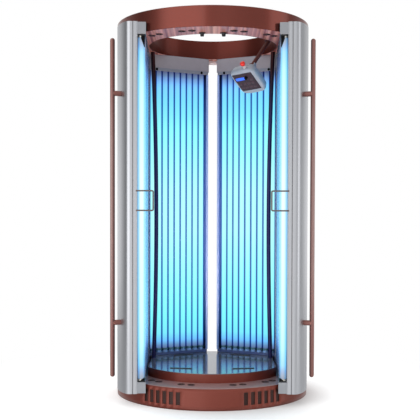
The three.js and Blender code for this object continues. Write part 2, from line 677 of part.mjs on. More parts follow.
function bandArc(radius, from, to) {
  const angleDeg = (at) => THREE.MathUtils.radToDeg(Math.atan2(at.y - axisInDoor.y, at.x - axisInDoor.x));
  return arc(radius, angleDeg(from), angleDeg(to), axisInDoor);
}

const doorFront = bandAt(lapRadius, DOOR_INNER).y - BLOCK_DEPTH;
const bevelY = doorFront + BEVEL_RUN;

function doorPost() {
  const outline = [
    point(troughX, doorFront),
    point(bevelX, doorFront),
    point(-DOOR_OUTER, bevelY),
    ...bandArc(lapRadius, bandLevelWith(lapRadius, bevelY), bandAt(lapRadius, troughX)),
  ];
  return prism(outline, BASE_HEIGHT - POST_LAP, RING_LOW + POST_LAP, [inset(outline, POST_WALL)]);
}

function endBlock(low, high) {
  const outer = troughX + SEAT_GAP;
  const outline = [
    point(DOOR_INNER, doorFront),
    point(outer, doorFront),
    bandAt(lapRadius, outer),
    bandAt(lapRadius, DOOR_INNER),
  ];
  return prism(outline, low, high);
}

function doorShell() {
  const innerEdge = DOOR_INNER - SHIELD / 2;
  const shellRadius = lapRadius - SHELL_SETBACK;
  const frontY = bevelY + SEAT_GAP;
  const outline = [
    point(innerEdge, DOOR_TAIL),
    point(-DOOR_OUTER, DOOR_TAIL),
    point(-DOOR_OUTER, frontY),
    ...bandArc(shellRadius, bandLevelWith(shellRadius, frontY), bandAt(shellRadius, innerEdge)),
  ];
  const hollow = block(
    [-DOOR_OUTER + DOOR_SHEET, 2 * doorFront, DOOR_LOW + DOOR_SHEET],
    [2 * DOOR_INNER, DOOR_TAIL - DOOR_SHEET, DOOR_HIGH - DOOR_SHEET],
  );
  const tray = cut(prism(outline, DOOR_LOW, DOOR_HIGH), hollow);
  const bosses = [
    rod(PIVOT_BOSS, DOOR_LOW, DOOR_LOW + PIN_ENTRY, point(0, 0), PIN_FACET_DEG),
    rod(PIVOT_BOSS, DOOR_HIGH - PIN_ENTRY, DOOR_HIGH, point(0, 0), PIN_FACET_DEG),
  ];
  const bore = rod(PIN_RADIUS + PIN_RUN, 0, BOOTH_HEIGHT, point(0, 0), PIN_FACET_DEG);
  return cut(join(tray, ...bosses), bore);
}

const doorInside = { low: DOOR_LOW + DOOR_SHEET + SEAT_GAP, high: DOOR_HIGH - DOOR_SHEET - SEAT_GAP };
const doorBack = DOOR_TAIL - DOOR_SHEET - SEAT_GAP;
const lampFloor = Math.max(doorInside.low, LOW_BLOCK_TOP + SEAT_GAP);

function doorReflector() {
  const front = bandAt(lapRadius, troughX).y + SHELL_SETBACK + LAMP_RADIUS / 2;
  return block([troughX - REFLECTOR, front, doorInside.low], [troughX, doorBack, doorInside.high]);
}

function doorLampBank() {
  const lowRailTop = lampFloor + DOOR_RAIL_HEIGHT;
  const highRailTop = HIGH_BLOCK_BOTTOM - SEAT_GAP;
  const highRailBottom = highRailTop - DOOR_RAIL_HEIGHT;
  const shieldFace = DOOR_INNER - SHIELD - SEAT_GAP;
  const railFront = doorFront + FIRST_LAMP_GAP;
  const rail = (low, high) => block([troughX + SEAT_GAP, railFront, low], [shieldFace, doorBack, high]);
  const pitch = 2 * LAMP_RADIUS + DOOR_LAMP_GAP;
  const firstLamp = railFront + LAMP_RADIUS;
  const lamps = 1 + Math.floor((doorBack - LAST_LAMP_GAP - LAMP_RADIUS - firstLamp) / pitch);
  const lampX = (troughX + shieldFace) / 2;
  const row = Array.from({ length: lamps }, (_, i) => point(lampX, firstLamp + i * pitch));
  return lampBank(row, rail(lampFloor, lowRailTop), rail(highRailBottom, highRailTop), {
    lowRailTop,
    lampLow: lowRailTop + DOOR_SOCKET_HEIGHT,
    lampHigh: highRailBottom - DOOR_SOCKET_HEIGHT,
    highRailBottom,
  });
}

function doorShield() {
  return block([DOOR_INNER - SHIELD, doorFront + SEAT_GAP, lampFloor],
    [DOOR_INNER, doorBack, HIGH_BLOCK_BOTTOM - SEAT_GAP]);
}

// Long bar outside the door, on two standoffs square to the bevel
function outerHandle() {
  const bevel = point(-DOOR_OUTER - bevelX, BEVEL_RUN).normalize();
  const outward = point(-bevel.y, bevel.x);
  const seat = point((bevelX - DOOR_OUTER) / 2, (doorFront + bevelY) / 2);
  const axis = seat.clone().addScaledVector(outward, BAR_STANDOFF);
  const foot = seat.clone().addScaledVector(outward, SEAT_GAP);
  const straight = BAR_HIGH - BAR_LOW - 2 * BAR_RADIUS;
  const grip = new THREE.CapsuleGeometry(BAR_RADIUS, straight, BAR_END_STEPS, BAR_SIDES)
    .rotateX(Math.PI / 2)
    .translate(axis.x, axis.y, (BAR_LOW + BAR_HIGH) / 2);
  const standoffs = [BAR_LOW + STANDOFF_INSET, BAR_HIGH - STANDOFF_INSET].map((level) => bar(
    new THREE.Vector3(foot.x, foot.y, level),
    new THREE.Vector3(axis.x, axis.y, level),
    STANDOFF_RADIUS,
  ));
  return join(grip, ...standoffs);
}

// Wire handle that reaches across the lamp trough into the opening
function innerHandle() {
  const rootX = troughX - WIRE_INSET;
  const tipX = rootX + WIRE_REACH;
  const faceY = doorFront - SEAT_GAP;
  const frontY = doorFront - WIRE_PROUD;
  const corners = [
    new THREE.Vector3(rootX, faceY, WIRE_LOW),
    new THREE.Vector3(rootX, frontY, WIRE_LOW),
    new THREE.Vector3(tipX, frontY, WIRE_LOW),
    new THREE.Vector3(tipX, frontY, WIRE_HIGH),
    new THREE.Vector3(rootX, frontY, WIRE_HIGH),
    new THREE.Vector3(rootX, faceY, WIRE_HIGH),
  ];
  const path = new THREE.CurvePath();
  let last = corners[0];
  for (let i = 1; i < corners.length - 1; i += 1) {
    const corner = corners[i];
    const before = corner.clone().add(corners[i - 1].clone().sub(corner).setLength(WIRE_BEND));
    const after = corner.clone().add(corners[i + 1].clone().sub(corner).setLength(WIRE_BEND));
    path.add(new THREE.LineCurve3(last, before));
    path.add(new THREE.QuadraticBezierCurve3(before, corner, after));
    last = after;
  }
  path.add(new THREE.LineCurve3(last, corners.at(-1)));
  return tube(path, WIRE_RADIUS, WIRE_STEPS, WIRE_SIDES);
}

for (const { name, sign } of SIDES) {
  const door = new THREE.Group();
  door.position.set(sign * HINGE_X, HINGE_Y, 0);
  door.rotation.z = -sign * doorToe;
  const hand = sign < 0 ? (geometry) => geometry : mirrorX;
  place(door, `door_post_${name}`, hand(doorPost()), SILVER_ALUMINIUM);
  place(door, `door_shell_${name}`, hand(doorShell()), SILVER_ALUMINIUM);
  place(door, `door_reflector_${name}`, hand(doorReflector()), MIRROR_STEEL);
  place(door, `door_lamp_bank_${name}`, hand(doorLampBank()), LAMP_GLASS);
  place(door, `door_shield_${name}`, hand(doorShield()), CLEAR_ACRYLIC);
  place(door, `door_foot_block_${name}`, hand(endBlock(BASE_HEIGHT - BLOCK_LAP, LOW_BLOCK_TOP)),
    LIGHT_GREY_PAINT);
  place(door, `door_head_block_${name}`, hand(endBlock(HIGH_BLOCK_BOTTOM, RING_LOW + BLOCK_LAP)),
    LIGHT_GREY_PAINT);
  place(door, `outer_handle_${name}`, hand(outerHandle()), BROWN_PAINT);
  place(door, `inner_handle_${name}`, hand(innerHandle()), BARE_STEEL);
  booth.add(door);
}

// Door hinge pins: each has a flange that spaces the door from the drum or the ring
SIDES.forEach(({ name }, i) => {
  const at = hingePoints[i];
  const pin = (low, high, flangeLow, flangeHigh) => join(
    rod(PIN_RADIUS, low, high, at, PIN_FACET_DEG),
    rod(PIN_FLANGE, flangeLow, flangeHigh, at, PIN_FACET_DEG),
  );
  place(booth, `foot_hinge_pin_${name}`, pin(BASE_HEIGHT - PIN_ROOT, DOOR_LOW + PIN_ENTRY - CUT_OVERRUN,
    BASE_HEIGHT + SEAT_GAP, DOOR_LOW - SEAT_GAP), BARE_STEEL);
  place(booth, `head_hinge_pin_${name}`, pin(DOOR_HIGH - PIN_ENTRY + CUT_OVERRUN, RING_LOW + PIN_ROOT,
    DOOR_HIGH + SEAT_GAP, RING_LOW - SEAT_GAP), BARE_STEEL);
});

// Bowed poles, cut flat where they stand on the platform and meet the soffit

function pole() {
  const overrun = 10;
  const low = PLATFORM_HEIGHT + SEAT_GAP;
  const high = RING_LOW - SEAT_GAP;
  const bowX = (POLE_FOOT_X + POLE_TOP_X) / 2 - 2 * POLE_BOW;
  const path = new THREE.QuadraticBezierCurve3(
    new THREE.Vector3(-POLE_FOOT_X, POLE_Y, low - overrun),
    new THREE.Vector3(-bowX, POLE_Y, (low + high) / 2),
    new THREE.Vector3(-POLE_TOP_X, POLE_Y, high + overrun),
  );
  const around = 5 * POLE_RADIUS;
  const trim = (from, to) => block([-Math.max(POLE_FOOT_X, POLE_TOP_X) - around, POLE_Y - around, from],
    [-bowX + around, POLE_Y + around, to]);
  return cut(tube(path, POLE_RADIUS, POLE_STEPS, POLE_SIDES),
    trim(low - 4 * overrun, low), trim(high, high + 4 * overrun));
}

place(booth, 'pole_left', pole(), DARK_BROWN_PAINT);
place(booth, 'pole_right', mirrorX(pole()), DARK_BROWN_PAINT);

// Where the console's arm turns in its bracket on the ring

const lugLow = RING_LOW + BRACKET.lift;
const bracketAngle = THREE.MathUtils.degToRad(BRACKET.angleDeg);
const spigotX = BRACKET_FACE - BRACKET.plate - SPIGOT_SETBACK;
const upwards = new THREE.Vector3(0, 0, 1);
const spigotAt = new THREE.Vector3(spigotX, 0, lugLow).applyAxisAngle(upwards, bracketAngle);

// Control console: x to the right of the keypad, y up it, z out of its face

const consoleTurn = new THREE.Matrix4()
  .makeRotationZ(THREE.MathUtils.degToRad(CONSOLE_YAW_DEG))
  .multiply(new THREE.Matrix4().makeRotationX(THREE.MathUtils.degToRad(90 + CONSOLE_TILT_DEG)))
  .multiply(new THREE.Matrix4().makeRotationZ(THREE.MathUtils.degToRad(CONSOLE_ROLL_DEG)));
const consoleFrame = new THREE.Group();
consoleFrame.position.set(...CONSOLE_HANG).add(spigotAt);
consoleFrame.quaternion.setFromRotationMatrix(consoleTurn);
consoleFrame.updateMatrixWorld(true);
booth.add(consoleFrame);

const pivotZ = -FRONT_SHELL_DEPTH - BACK_SHELL_DEPTH - PIVOT_STANDOFF;

function consoleOutline(shrink) {
  return roundedRectangle(-CONSOLE_LEFT + shrink, CONSOLE_RIGHT - shrink, -CONSOLE_BOTTOM + shrink,
    CONSOLE_TOP - shrink, CONSOLE_CORNER - shrink);
}

function consoleFront() {
  const shell = prism(consoleOutline(0), -FRONT_SHELL_DEPTH, 0);
  const pocket = prism(consoleOutline(CONSOLE_WALL), -FRONT_SHELL_DEPTH - CUT_OVERRUN, -CONSOLE_WALL);
  const shaftHole = rod(KNOB.shaft + PIN_RUN, -FRONT_SHELL_DEPTH, CUT_OVERRUN, point(KNOB.x, KNOB.y));
  return cut(shell, pocket, shaftHole);
}

// Back shell: tapers from the front shell's outline, with two ears for the arm's eye
function consoleBack() {
  const rim = -FRONT_SHELL_DEPTH - SEAT_GAP;
  const shell = prism(consoleOutline(0), rim - BACK_SHELL_DEPTH, rim);
  const position = shell.attributes.position;
  const middle = rim - BACK_SHELL_DEPTH / 2;
  for (let i = 0; i < position.count; i += 1) {
    if (position.getZ(i) > middle) continue;
    position.setX(i, position.getX(i) * BACK_SHELL_TAPER);
    position.setY(i, position.getY(i) * BACK_SHELL_TAPER);
  }
  const back = rim - BACK_SHELL_DEPTH;
  const inside = prism(consoleOutline(CONSOLE_CORNER / 2), back + CONSOLE_WALL, rim + CUT_OVERRUN);
  inside.scale(BACK_SHELL_TAPER, BACK_SHELL_TAPER, 1);
  const [x, y] = PIVOT_AT;
  const ears = [-1, 1].map((half) => {
    const nearFace = x + half * (PIVOT_EYE_LENGTH / 2 + SEAT_GAP);
    const farFace = nearFace + half * EAR;
    return block([Math.min(nearFace, farFace), y - PIVOT_EYE, pivotZ - PIVOT_EYE / 2],
      [Math.max(nearFace, farFace), y + PIVOT_EYE, back + CONSOLE_WALL]);
  });
  const pinHole = bar(new THREE.Vector3(x - PIVOT_EYE_LENGTH, y, pivotZ),
    new THREE.Vector3(x + PIVOT_EYE_LENGTH, y, pivotZ), PIVOT_PIN + PIN_RUN);
  return cut(join(cut(shell, inside), ...ears), pinHole);
}

function displayOutline(grow) {
  const { width, height, x, y } = DISPLAY;
  const halfWidth = width / 2 + grow;
  const halfHeight = height / 2 + grow;
  return roundedRectangle(x - halfWidth, x + halfWidth, y - halfHeight, y + halfHeight, DISPLAY_CORNER);
}

function keypadPanel() {
  const halfWidth = KEYPAD_WIDTH / 2;
  const halfHeight = KEYPAD_HEIGHT / 2;
  const outline = roundedRectangle(-halfWidth, halfWidth, -halfHeight, halfHeight, KEYPAD_CORNER);
  return prism(outline, SEAT_GAP, SEAT_GAP + KEYPAD_SHEET,
    [displayOutline(SEAT_GAP), circle(KNOB.shaft + PIN_RUN, point(KNOB.x, KNOB.y), SMALL_FACET_DEG)]);
}

function displayWindow() {
  return prism(displayOutline(0), SEAT_GAP, SEAT_GAP + KEYPAD_SHEET);
}

function knob() {
  const seat = 2 * SEAT_GAP + KEYPAD_SHEET;
  return turned([
    [0, -FRONT_SHELL_DEPTH / 2],
    [KNOB.shaft, -FRONT_SHELL_DEPTH / 2],
    [KNOB.shaft, seat],
    [KNOB.radius, seat],
    [KNOB.radius, seat + KNOB.height - KNOB.chamfer],
    [KNOB.radius - KNOB.chamfer, seat + KNOB.height],
    [0, seat + KNOB.height],
  ], SMALL_FACET_DEG).translate(KNOB.x, KNOB.y, 0);
}

// The stop button stands on the console's top side: its profiles are turned about that axis
function onTopSide(geometry) {
  return geometry.rotateX(-Math.PI / 2).translate(STOP.x, CONSOLE_TOP + SEAT_GAP, STOP.z);
}

function stopCollar() {
  const { radius, height } = STOP_COLLAR;
  const ring = prism(circle(radius, point(0, 0), SMALL_FACET_DEG), 0, height,
    [circle(STOP.stem + PIN_RUN, point(0, 0), SMALL_FACET_DEG)]);
  return onTopSide(ring);
}

function stopButton() {
  const { radius, height, chamfer, crown, belly, shoulder } = STOP_HEAD;
  const stemLow = STOP.travel + STOP.underTravel;
  const headLow = STOP_COLLAR.height + stemLow;
  return onTopSide(turned([
    [0, stemLow],
    [STOP.stem, stemLow],
    [STOP.stem, headLow],
    [radius - chamfer, headLow],
    [radius, headLow + belly],
    [radius - chamfer, headLow + shoulder],
    [crown, headLow + height],
    [0, headLow + height],
  ], SMALL_FACET_DEG));
}

place(consoleFrame, 'console_front', consoleFront(), CONSOLE_PLASTIC);
place(consoleFrame, 'console_back', consoleBack(), CONSOLE_PLASTIC);
place(consoleFrame, 'keypad_panel', keypadPanel(), KEYPAD_FILM);
place(consoleFrame, 'display_window', displayWindow(), DISPLAY_GLASS);
place(consoleFrame, 'console_knob', knob(), BLACK_PLASTIC);
place(consoleFrame, 'stop_collar', stopCollar(), WHITE_PLASTIC);
place(consoleFrame, 'stop_button', stopButton(), RED_PLASTIC);

// Console arm and its bracket on the ring's inner band

// In a frame turned to the bracket's angle: x away from the booth's axis
function consoleBracket() {
  const half = BRACKET.width / 2;
  const inner = BRACKET_FACE - BRACKET.plate;
  const plate = block([inner, -half, lugLow], [BRACKET_FACE, half, lugLow + BRACKET.height]);
  const lugHigh = lugLow + BRACKET.lug;
  const lug = block([inner - BRACKET.reach, -half, lugLow], [inner + CUT_OVERRUN, half, lugHigh]);
  const holeAt = point(spigotX, 0);
  const hole = rod(SPIGOT_RADIUS + PIN_RUN, lugLow - CUT_OVERRUN, lugHigh + CUT_OVERRUN, holeAt);
  return cut(join(plate, lug), hole).rotateZ(bracketAngle);
}

function consoleArm() {
  const rootAt = point(spigotAt.x, spigotAt.y);
  const bossTop = lugLow - SEAT_GAP;
  const boss = rod(SPIGOT_BOSS, bossTop - SPIGOT_BOSS_HEIGHT, bossTop, rootAt);
  const spigot = rod(SPIGOT_RADIUS, lugLow - SPIGOT_BOSS_HEIGHT, lugLow + BRACKET.lug + SPIGOT_PROUD, rootAt);
  const toWorld = (x, y, z) => new THREE.Vector3(x, y, z).applyMatrix4(consoleFrame.matrixWorld);
  const [x, y] = PIVOT_AT;
  const eyeReach = PIVOT_EYE_LENGTH / 2;
  const pinReach = eyeReach + SEAT_GAP + EAR;
  const eye = bar(toWorld(x - eyeReach, y, pivotZ), toWorld(x + eyeReach, y, pivotZ), PIVOT_EYE);
  const pin = bar(toWorld(x - pinReach, y, pivotZ), toWorld(x + pinReach, y, pivotZ), PIVOT_PIN);
  const shoulder = new THREE.Vector3(spigotAt.x, spigotAt.y, bossTop - SPIGOT_BOSS_HEIGHT / 2);
  const limb = bar(shoulder, toWorld(x, y, pivotZ), ARM_RADIUS);
  return join(boss, spigot, limb, eye, pin);
}

place(booth, 'console_bracket', consoleBracket(), BROWN_PAINT);
place(booth, 'console_arm', consoleArm(), BROWN_PAINT);

export default booth;
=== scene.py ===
# %% [markdown]
# # A vertical tanning booth
#
# The booth stands on a round drum and carries a ring overhead. Two lamp panels at the back are
# fixed, and a lamp door hangs on each side of the opening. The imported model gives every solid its
# place, so this lesson only makes the surfaces finer and gives them their finishes.

# %% Load the frame
import json
import math

import bmesh
import bpy
from mathutils import Matrix, Vector


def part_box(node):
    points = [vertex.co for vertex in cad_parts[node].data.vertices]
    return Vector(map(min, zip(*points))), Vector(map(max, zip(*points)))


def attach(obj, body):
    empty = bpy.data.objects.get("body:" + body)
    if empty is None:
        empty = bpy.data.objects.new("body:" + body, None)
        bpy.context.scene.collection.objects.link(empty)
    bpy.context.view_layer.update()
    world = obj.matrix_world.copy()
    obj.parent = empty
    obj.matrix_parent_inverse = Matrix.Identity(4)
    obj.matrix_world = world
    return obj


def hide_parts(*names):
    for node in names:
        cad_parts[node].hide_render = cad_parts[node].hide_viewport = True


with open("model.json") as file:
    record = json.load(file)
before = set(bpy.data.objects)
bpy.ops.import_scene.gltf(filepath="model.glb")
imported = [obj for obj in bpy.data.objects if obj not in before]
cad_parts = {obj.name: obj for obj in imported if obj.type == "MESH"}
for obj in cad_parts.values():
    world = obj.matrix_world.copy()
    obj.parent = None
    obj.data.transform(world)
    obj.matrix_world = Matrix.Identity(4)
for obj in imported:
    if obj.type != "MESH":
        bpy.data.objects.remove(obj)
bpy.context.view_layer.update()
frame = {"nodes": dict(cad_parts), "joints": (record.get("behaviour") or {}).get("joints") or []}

nodes = frame["nodes"]
joints = {joint["name"]: joint for joint in frame["joints"]}

# %% [markdown]
# ## Sizes
#
# The levels are read from the frame, so the pieces below meet it. The widths of sheets, gaps and
# turned edges are typical for sheet metal work of this kind. Blender works in metres, so a size
# that a maker thinks of in millimetres is multiplied by MM.

# %% Levels and radii
MM = 0.001
SHEET = 3 * MM
SEAT_GAP = 0.3 * MM
EDGE = 1.2 * MM
LEDGE_WIDTH = 164 * MM


def levels(node):
    """The lowest and the highest level of a solid of the frame."""
    return [corner.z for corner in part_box(node)]


BOOTH_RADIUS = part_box("ring_band")[1].x
RING_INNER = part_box("ring_inner_band")[1].x - SHEET
PLATFORM_HALF_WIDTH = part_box("platform_plate")[1].x
PLATFORM_RADIUS = BOOTH_RADIUS - LEDGE_WIDTH
RING_LOW, RING_HIGH = levels("ring_band")
BASE_TOP = levels("base_ledge")[1]
PLATFORM_TOP = levels("platform_plate")[1]
print("drum", BOOTH_RADIUS, "ring", RING_LOW, RING_HIGH, "platform", PLATFORM_TOP)

# %% [markdown]
# ## Making shapes
#
# A shape here is a pair of lists, points and faces. Nearly every piece is a run of rings that are
# skinned one after the other, which Blender users call a loft: a turned piece, a bent tube and a
# moulded shell differ only in their rings. A flat plate with holes is filled and then extruded.

# %% Outlines in plan
def in_mm(points):
    """Points that are written in millimetres, as metres."""
    return [tuple(size * MM for size in point) for point in points]


def on_circle(radius, degrees):
    """A point of the plan: 0 degrees is the front, and positive angles go to the right."""
    angle = math.radians(degrees)
    return radius * math.sin(angle), -radius * math.cos(angle)


def around(radius, angles, centre):
    return [(centre[0] + radius * math.cos(a), centre[1] + radius * math.sin(a)) for a in angles]


def circle(radius, steps, centre=(0, 0)):
    return around(radius, [2 * math.pi * i / steps for i in range(steps)], centre)


def arc(radius, start_deg, end_deg, steps, centre=(0, 0)):
    step = (end_deg - start_deg) / steps
    return around(radius, [math.radians(start_deg + step * i) for i in range(steps + 1)], centre)


def rounded_rectangle(left, right, bottom, top, corner, steps=6):
    return [
        *arc(corner, 180, 270, steps, (left + corner, bottom + corner)),
        *arc(corner, 270, 360, steps, (right - corner, bottom + corner)),
        *arc(corner, 0, 90, steps, (right - corner, top - corner)),
        *arc(corner, 90, 180, steps, (left + corner, top - corner)),
    ]


# %% Lofts
ROUND_STEPS = 128
POINT_RADIUS = 0.01 * MM


def loft(rings, closed=False):
    """Skins rings of equally many points. A closed run joins its last ring to its first."""
    count = len(rings[0])
    points = [tuple(point) for ring in rings for point in ring]
    faces = []
    for run in range(len(rings) if closed else len(rings) - 1):
        here = run * count
        there = (run + 1) % len(rings) * count
        for i in range(count):
            j = (i + 1) % count
            faces.append((here + i, here + j, there + j, there + i))
    if not closed:
        faces.append(tuple(reversed(range(count))))
        faces.append(tuple(range(len(points) - count, len(points))))
    return points, faces


def stacked(outlines):
    """Lofts plan outlines given with their heights."""
    return loft([[(x, y, height) for x, y in outline] for outline, height in outlines])


def prism(outline, low, high):
    return stacked([(outline, low), (outline, high)])


def block(low, high):
    outline = [(low[0], low[1]), (high[0], low[1]), (high[0], high[1]), (low[0], high[1])]
    return prism(outline, low[2], high[2])


def turned(profile, steps=32):
    """Turns a profile of (radius, height) steps about Z and caps both ends."""
    return stacked([(circle(max(radius, POINT_RADIUS), steps), height) for radius, height in profile])


def hooped(profile, steps=ROUND_STEPS):
    """Turns a closed profile of (radius, height) corners about Z into a hoop."""
    rings = [[(r * x, r * y, z) for r, z in profile] for x, y in circle(1, steps)]
    return loft(rings, closed=True)


def pipe(path, radius, sides):
    """A round bar along a path of points."""
    path = [Vector(point) for point in path]
    rings = []
    across = None
    for i, point in enumerate(path):
        along = (path[min(i + 1, len(path) - 1)] - path[max(i - 1, 0)]).normalized()
        across = along.orthogonal() if across is None else across - along * across.dot(along)
        across.normalize()
        third = along.cross(across)
        rings.append([point + across * x + third * y for x, y in circle(radius, sides)])
    return loft(rings)


# %% Plates with holes
def plate(outline, low, high, holes=()):
    """A sheet whose outlines are filled at its low level and extruded to its high one."""
    mesh = bmesh.new()
    for loop in (outline, *holes):
        corners = [mesh.verts.new((x, y, low)) for x, y in loop]
        for first, second in zip(corners, corners[1:] + corners[:1]):
            mesh.edges.new((first, second))
    bmesh.ops.triangle_fill(mesh, use_beauty=True, edges=mesh.edges[:])
    grown = bmesh.ops.extrude_face_region(mesh, geom=mesh.faces[:])["geom"]
    lifted = [part for part in grown if isinstance(part, bmesh.types.BMVert)]
    bmesh.ops.translate(mesh, vec=(0, 0, high - low), verts=lifted)
    mesh.verts.index_update()
    points = [tuple(vert.co) for vert in mesh.verts]
    faces = [tuple(vert.index for vert in face.verts) for face in mesh.faces]
    mesh.free()
    return points, faces


# %% Moving and joining shapes
def at(x, y, z=0.0):
    return Matrix.Translation((x, y, z))


def spun(degrees, axis="Z"):
    return Matrix.Rotation(math.radians(degrees), 4, axis)


def moved(shape, matrix):
    points, faces = shape
    return [tuple(matrix @ Vector(point)) for point in points], faces


def mirrored(shape):
    points, faces = shape
    return [(-x, y, z) for x, y, z in points], [face[::-1] for face in faces]


def joined(shapes):
    points, faces = [], []
    for more_points, more_faces in shapes:
        start = len(points)
        points += more_points
        faces += [tuple(start + i for i in face) for face in more_faces]
    return points, faces


def row_of(shape, places):
    """Copies of a shape at places in plan."""
    return joined([moved(shape, at(x, y)) for x, y in places])


# %% [markdown]
# ## From a shape to a piece
#
# A piece is an object with one finish that rides on a body of the frame. Its faces are shaded
# smooth, except across sharp edges, and a narrow bevel gives those edges a line of light, because
# no folded or moulded edge is perfectly sharp. Most pieces come in pairs, and {} in a name is the
# side. A solid of the frame whose shape is right is kept, and only dressed in a finish.

# %% Pieces
SMOOTH = math.radians(35)
SIDES = ("left", "right")


def round_edges(solid, width):
    modifier = solid.modifiers.new("edge", "BEVEL")
    modifier.width = width
    modifier.segments = 2
    modifier.limit_method = "ANGLE"
    modifier.angle_limit = SMOOTH
    modifier.harden_normals = True


def piece(name, shape, material, replaced="", body="booth", bevel=0.0, thickness=0.0):
    points, faces = shape
    mesh = bpy.data.meshes.new(name)
    mesh.from_pydata(points, [], faces)
    if not thickness:
        work = bmesh.new()
        work.from_mesh(mesh)
        bmesh.ops.recalc_face_normals(work, faces=work.faces[:])
        work.to_mesh(mesh)
        work.free()
    mesh.shade_smooth()
    mesh.set_sharp_from_angle(angle=SMOOTH)
    mesh.materials.append(material)
    made = bpy.data.objects.new(name, mesh)
    bpy.context.scene.collection.objects.link(made)
    if thickness:
        sheet = made.modifiers.new("sheet", "SOLIDIFY")
        sheet.thickness = thickness
        sheet.offset = -1
    if bevel:
        round_edges(made, bevel)
    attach(made, body)
    if replaced:
        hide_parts(replaced)
    print("piece", name, "on", body, "with", len(faces), "faces")


def pair(name, shape, material, replaced="", body="booth", bevel=0.0):
    """A piece for the left side and its mirror image for the right."""
    for side, hand in zip(SIDES, (shape, mirrored(shape))):
        finish = material[side] if isinstance(material, dict) else material
        piece(name.format(side), hand, finish, replaced.format(side), body.format(side), bevel)


def dress(node, material, bevel=0.0):
    for name in dict.fromkeys(node.format(side) for side in SIDES):
        solid = nodes[name]
        solid.data.materials.clear()
        solid.data.materials.append(material)
        if bevel:
            round_edges(solid, bevel)
        print("dressed", name, "in", material.name)


# %% [markdown]
# ## Finishes
#
# Every finish starts from the real material and the way its surface was made. Colours are sRGB
# hex codes, as an image editor shows them, and patterns are sized in millimetres. Sockets are
# linked by name or by place: a Mix node for colours has its factor at 0, its two colours at 6 and
# 7 and its result at 2, and a Map Range node has its ranges at 1 to 4.

# %% Nodes and colours
def colour(hex_code):
    channels = [int(hex_code[i:i + 2], 16) / 255 for i in (0, 2, 4)]
    linear = [c / 12.92 if c <= 0.04045 else ((c + 0.055) / 1.055) ** 2.4 for c in channels]
    return (*linear, 1.0)


def add(tree, kind, inputs=None, **settings):
    """Adds a node. An input is a value to set or a socket to link from."""
    node = tree.nodes.new("ShaderNode" + kind)
    for name, value in settings.items():
        setattr(node, name, value)
    for key, value in (inputs or {}).items():
        if isinstance(value, bpy.types.NodeSocket):
            tree.links.new(value, node.inputs[key])
        else:
            node.inputs[key].default_value = value
    return node


def new_finish(name, hex_code, roughness, metallic=0.0, **more):
    """A plain finish. More sockets are given by name, with _ for a space."""
    material = bpy.data.materials.new(name)
    material.use_nodes = True
    tree = material.node_tree
    shader = tree.nodes["Principled BSDF"]
    shader.inputs["Base Color"].default_value = colour(hex_code)
    shader.inputs["Roughness"].default_value = roughness
    shader.inputs["Metallic"].default_value = metallic
    for socket, value in more.items():
        shader.inputs[socket.replace("_", " ")].default_value = value
    print("finish", name)
    return material, tree, shader


# %% Patterns and what they drive
def place_along(tree, axis):
    """The place on a piece along X, Y or Z, in metres."""
    return add(tree, "SeparateXYZ", {0: add(tree, "TexCoord").outputs["Object"]}).outputs[axis]


def blotches(tree, size_mm, stretch=(1, 1, 1), detail=2.0):
    """Noise with blotches about size_mm across, lengthened by stretch along each axis."""
    place = add(tree, "TexCoord").outputs["Object"]
    shrink = [1 / s for s in stretch]
    spread = add(tree, "Mapping", {"Vector": place, "Scale": shrink}).outputs[0]
    noise = add(tree, "TexNoise", {"Vector": spread, "Scale": 1 / (size_mm * MM), "Detail": detail})
    return noise.outputs[0]


def tint(tree, shader, pattern, dark, light):
    mix = add(tree, "Mix", {0: pattern, 6: colour(dark), 7: colour(light)}, data_type="RGBA")
    tree.links.new(mix.outputs[2], shader.inputs["Base Color"])


def gloss_range(tree, shader, pattern, smooth, rough):
    spread = add(tree, "MapRange", {0: pattern, 3: smooth, 4: rough})
    tree.links.new(spread.outputs[0], shader.inputs["Roughness"])


def relief(tree, shader, pattern, height_mm, strength):
    bump = add(tree, "Bump", {"Height": pattern, "Distance": height_mm * MM, "Strength": strength})
    tree.links.new(bump.outputs[0], shader.inputs["Normal"])


# %% [markdown]
# ### Pearl enamel
#
# The drum and the ring are sheet steel sprayed with a red-brown pearl enamel under clear lacquer.
# The flakes give a fine sparkle and the lacquer a sharp reflection over a soft colour. Flakes of
# 0.1 mm would not show, so they are drawn 3 mm wide.

# %% Pearl enamel
FLAKE_MM = 3
LACQUER_IOR = 1.5
LACQUER_GLOSS = 0.04


def ripple(tree, shader):
    """Sprayed lacquer dries with a faint ripple, about 9 mm from crest to crest."""
    relief(tree, shader, blotches(tree, 9), 0.02, 0.2)


def pearl_enamel(name, dark, light, flake_gloss, lacquer, metallic=0.9):
    material, tree, shader = new_finish(name, light, flake_gloss, metallic, Coat_Weight=lacquer,
                                        Coat_Roughness=LACQUER_GLOSS, Coat_IOR=LACQUER_IOR)
    tint(tree, shader, blotches(tree, FLAKE_MM, detail=4.0), dark, light)
    ripple(tree, shader)
    return material


brown_enamel = pearl_enamel("brown_pearl_enamel", "6E2F25", "853F33", 0.24, 0.5)
# The inner hoop's enamel is a darker copy of the ring's outer enamel: painted shade inside the ring.
inner_enamel = pearl_enamel("shaded_thin_brown_pearl_enamel", "541C13", "66281D", 0.3, 0.15, 0.8)
base_enamel = pearl_enamel("satin_brown_enamel", "6E2C20", "843D2F", 0.38, 0.1, 0.4)
# The ledge's enamel is far paler than the drum's: a painted highlight on its top face.
ledge_enamel = pearl_enamel("pale_brown_enamel_painted_highlight", "967470", "A4827E", 0.35, 0.4, 0.2)
rod_enamel = pearl_enamel("rod_brown_enamel", "77473F", "875650", 0.4, 0.2, 0.3)
arm_enamel = pearl_enamel("dark_brown_enamel", "4A1C15", "5A261D", 0.7, 0.0, 0.0)
shade_enamel = pearl_enamel("stoved_brown_enamel", "30150F", "3E1F18", 0.5, 0.0, 0.2)

# %% [markdown]
# ### Enamel with painted streaks
#
# The light on the ring's underside lies in streaks, which are painted reflections in its colour. Noise that
# changes along X only gives streaks that run from front to back.

# %% Enamel with painted streaks
STREAK_MM = 24


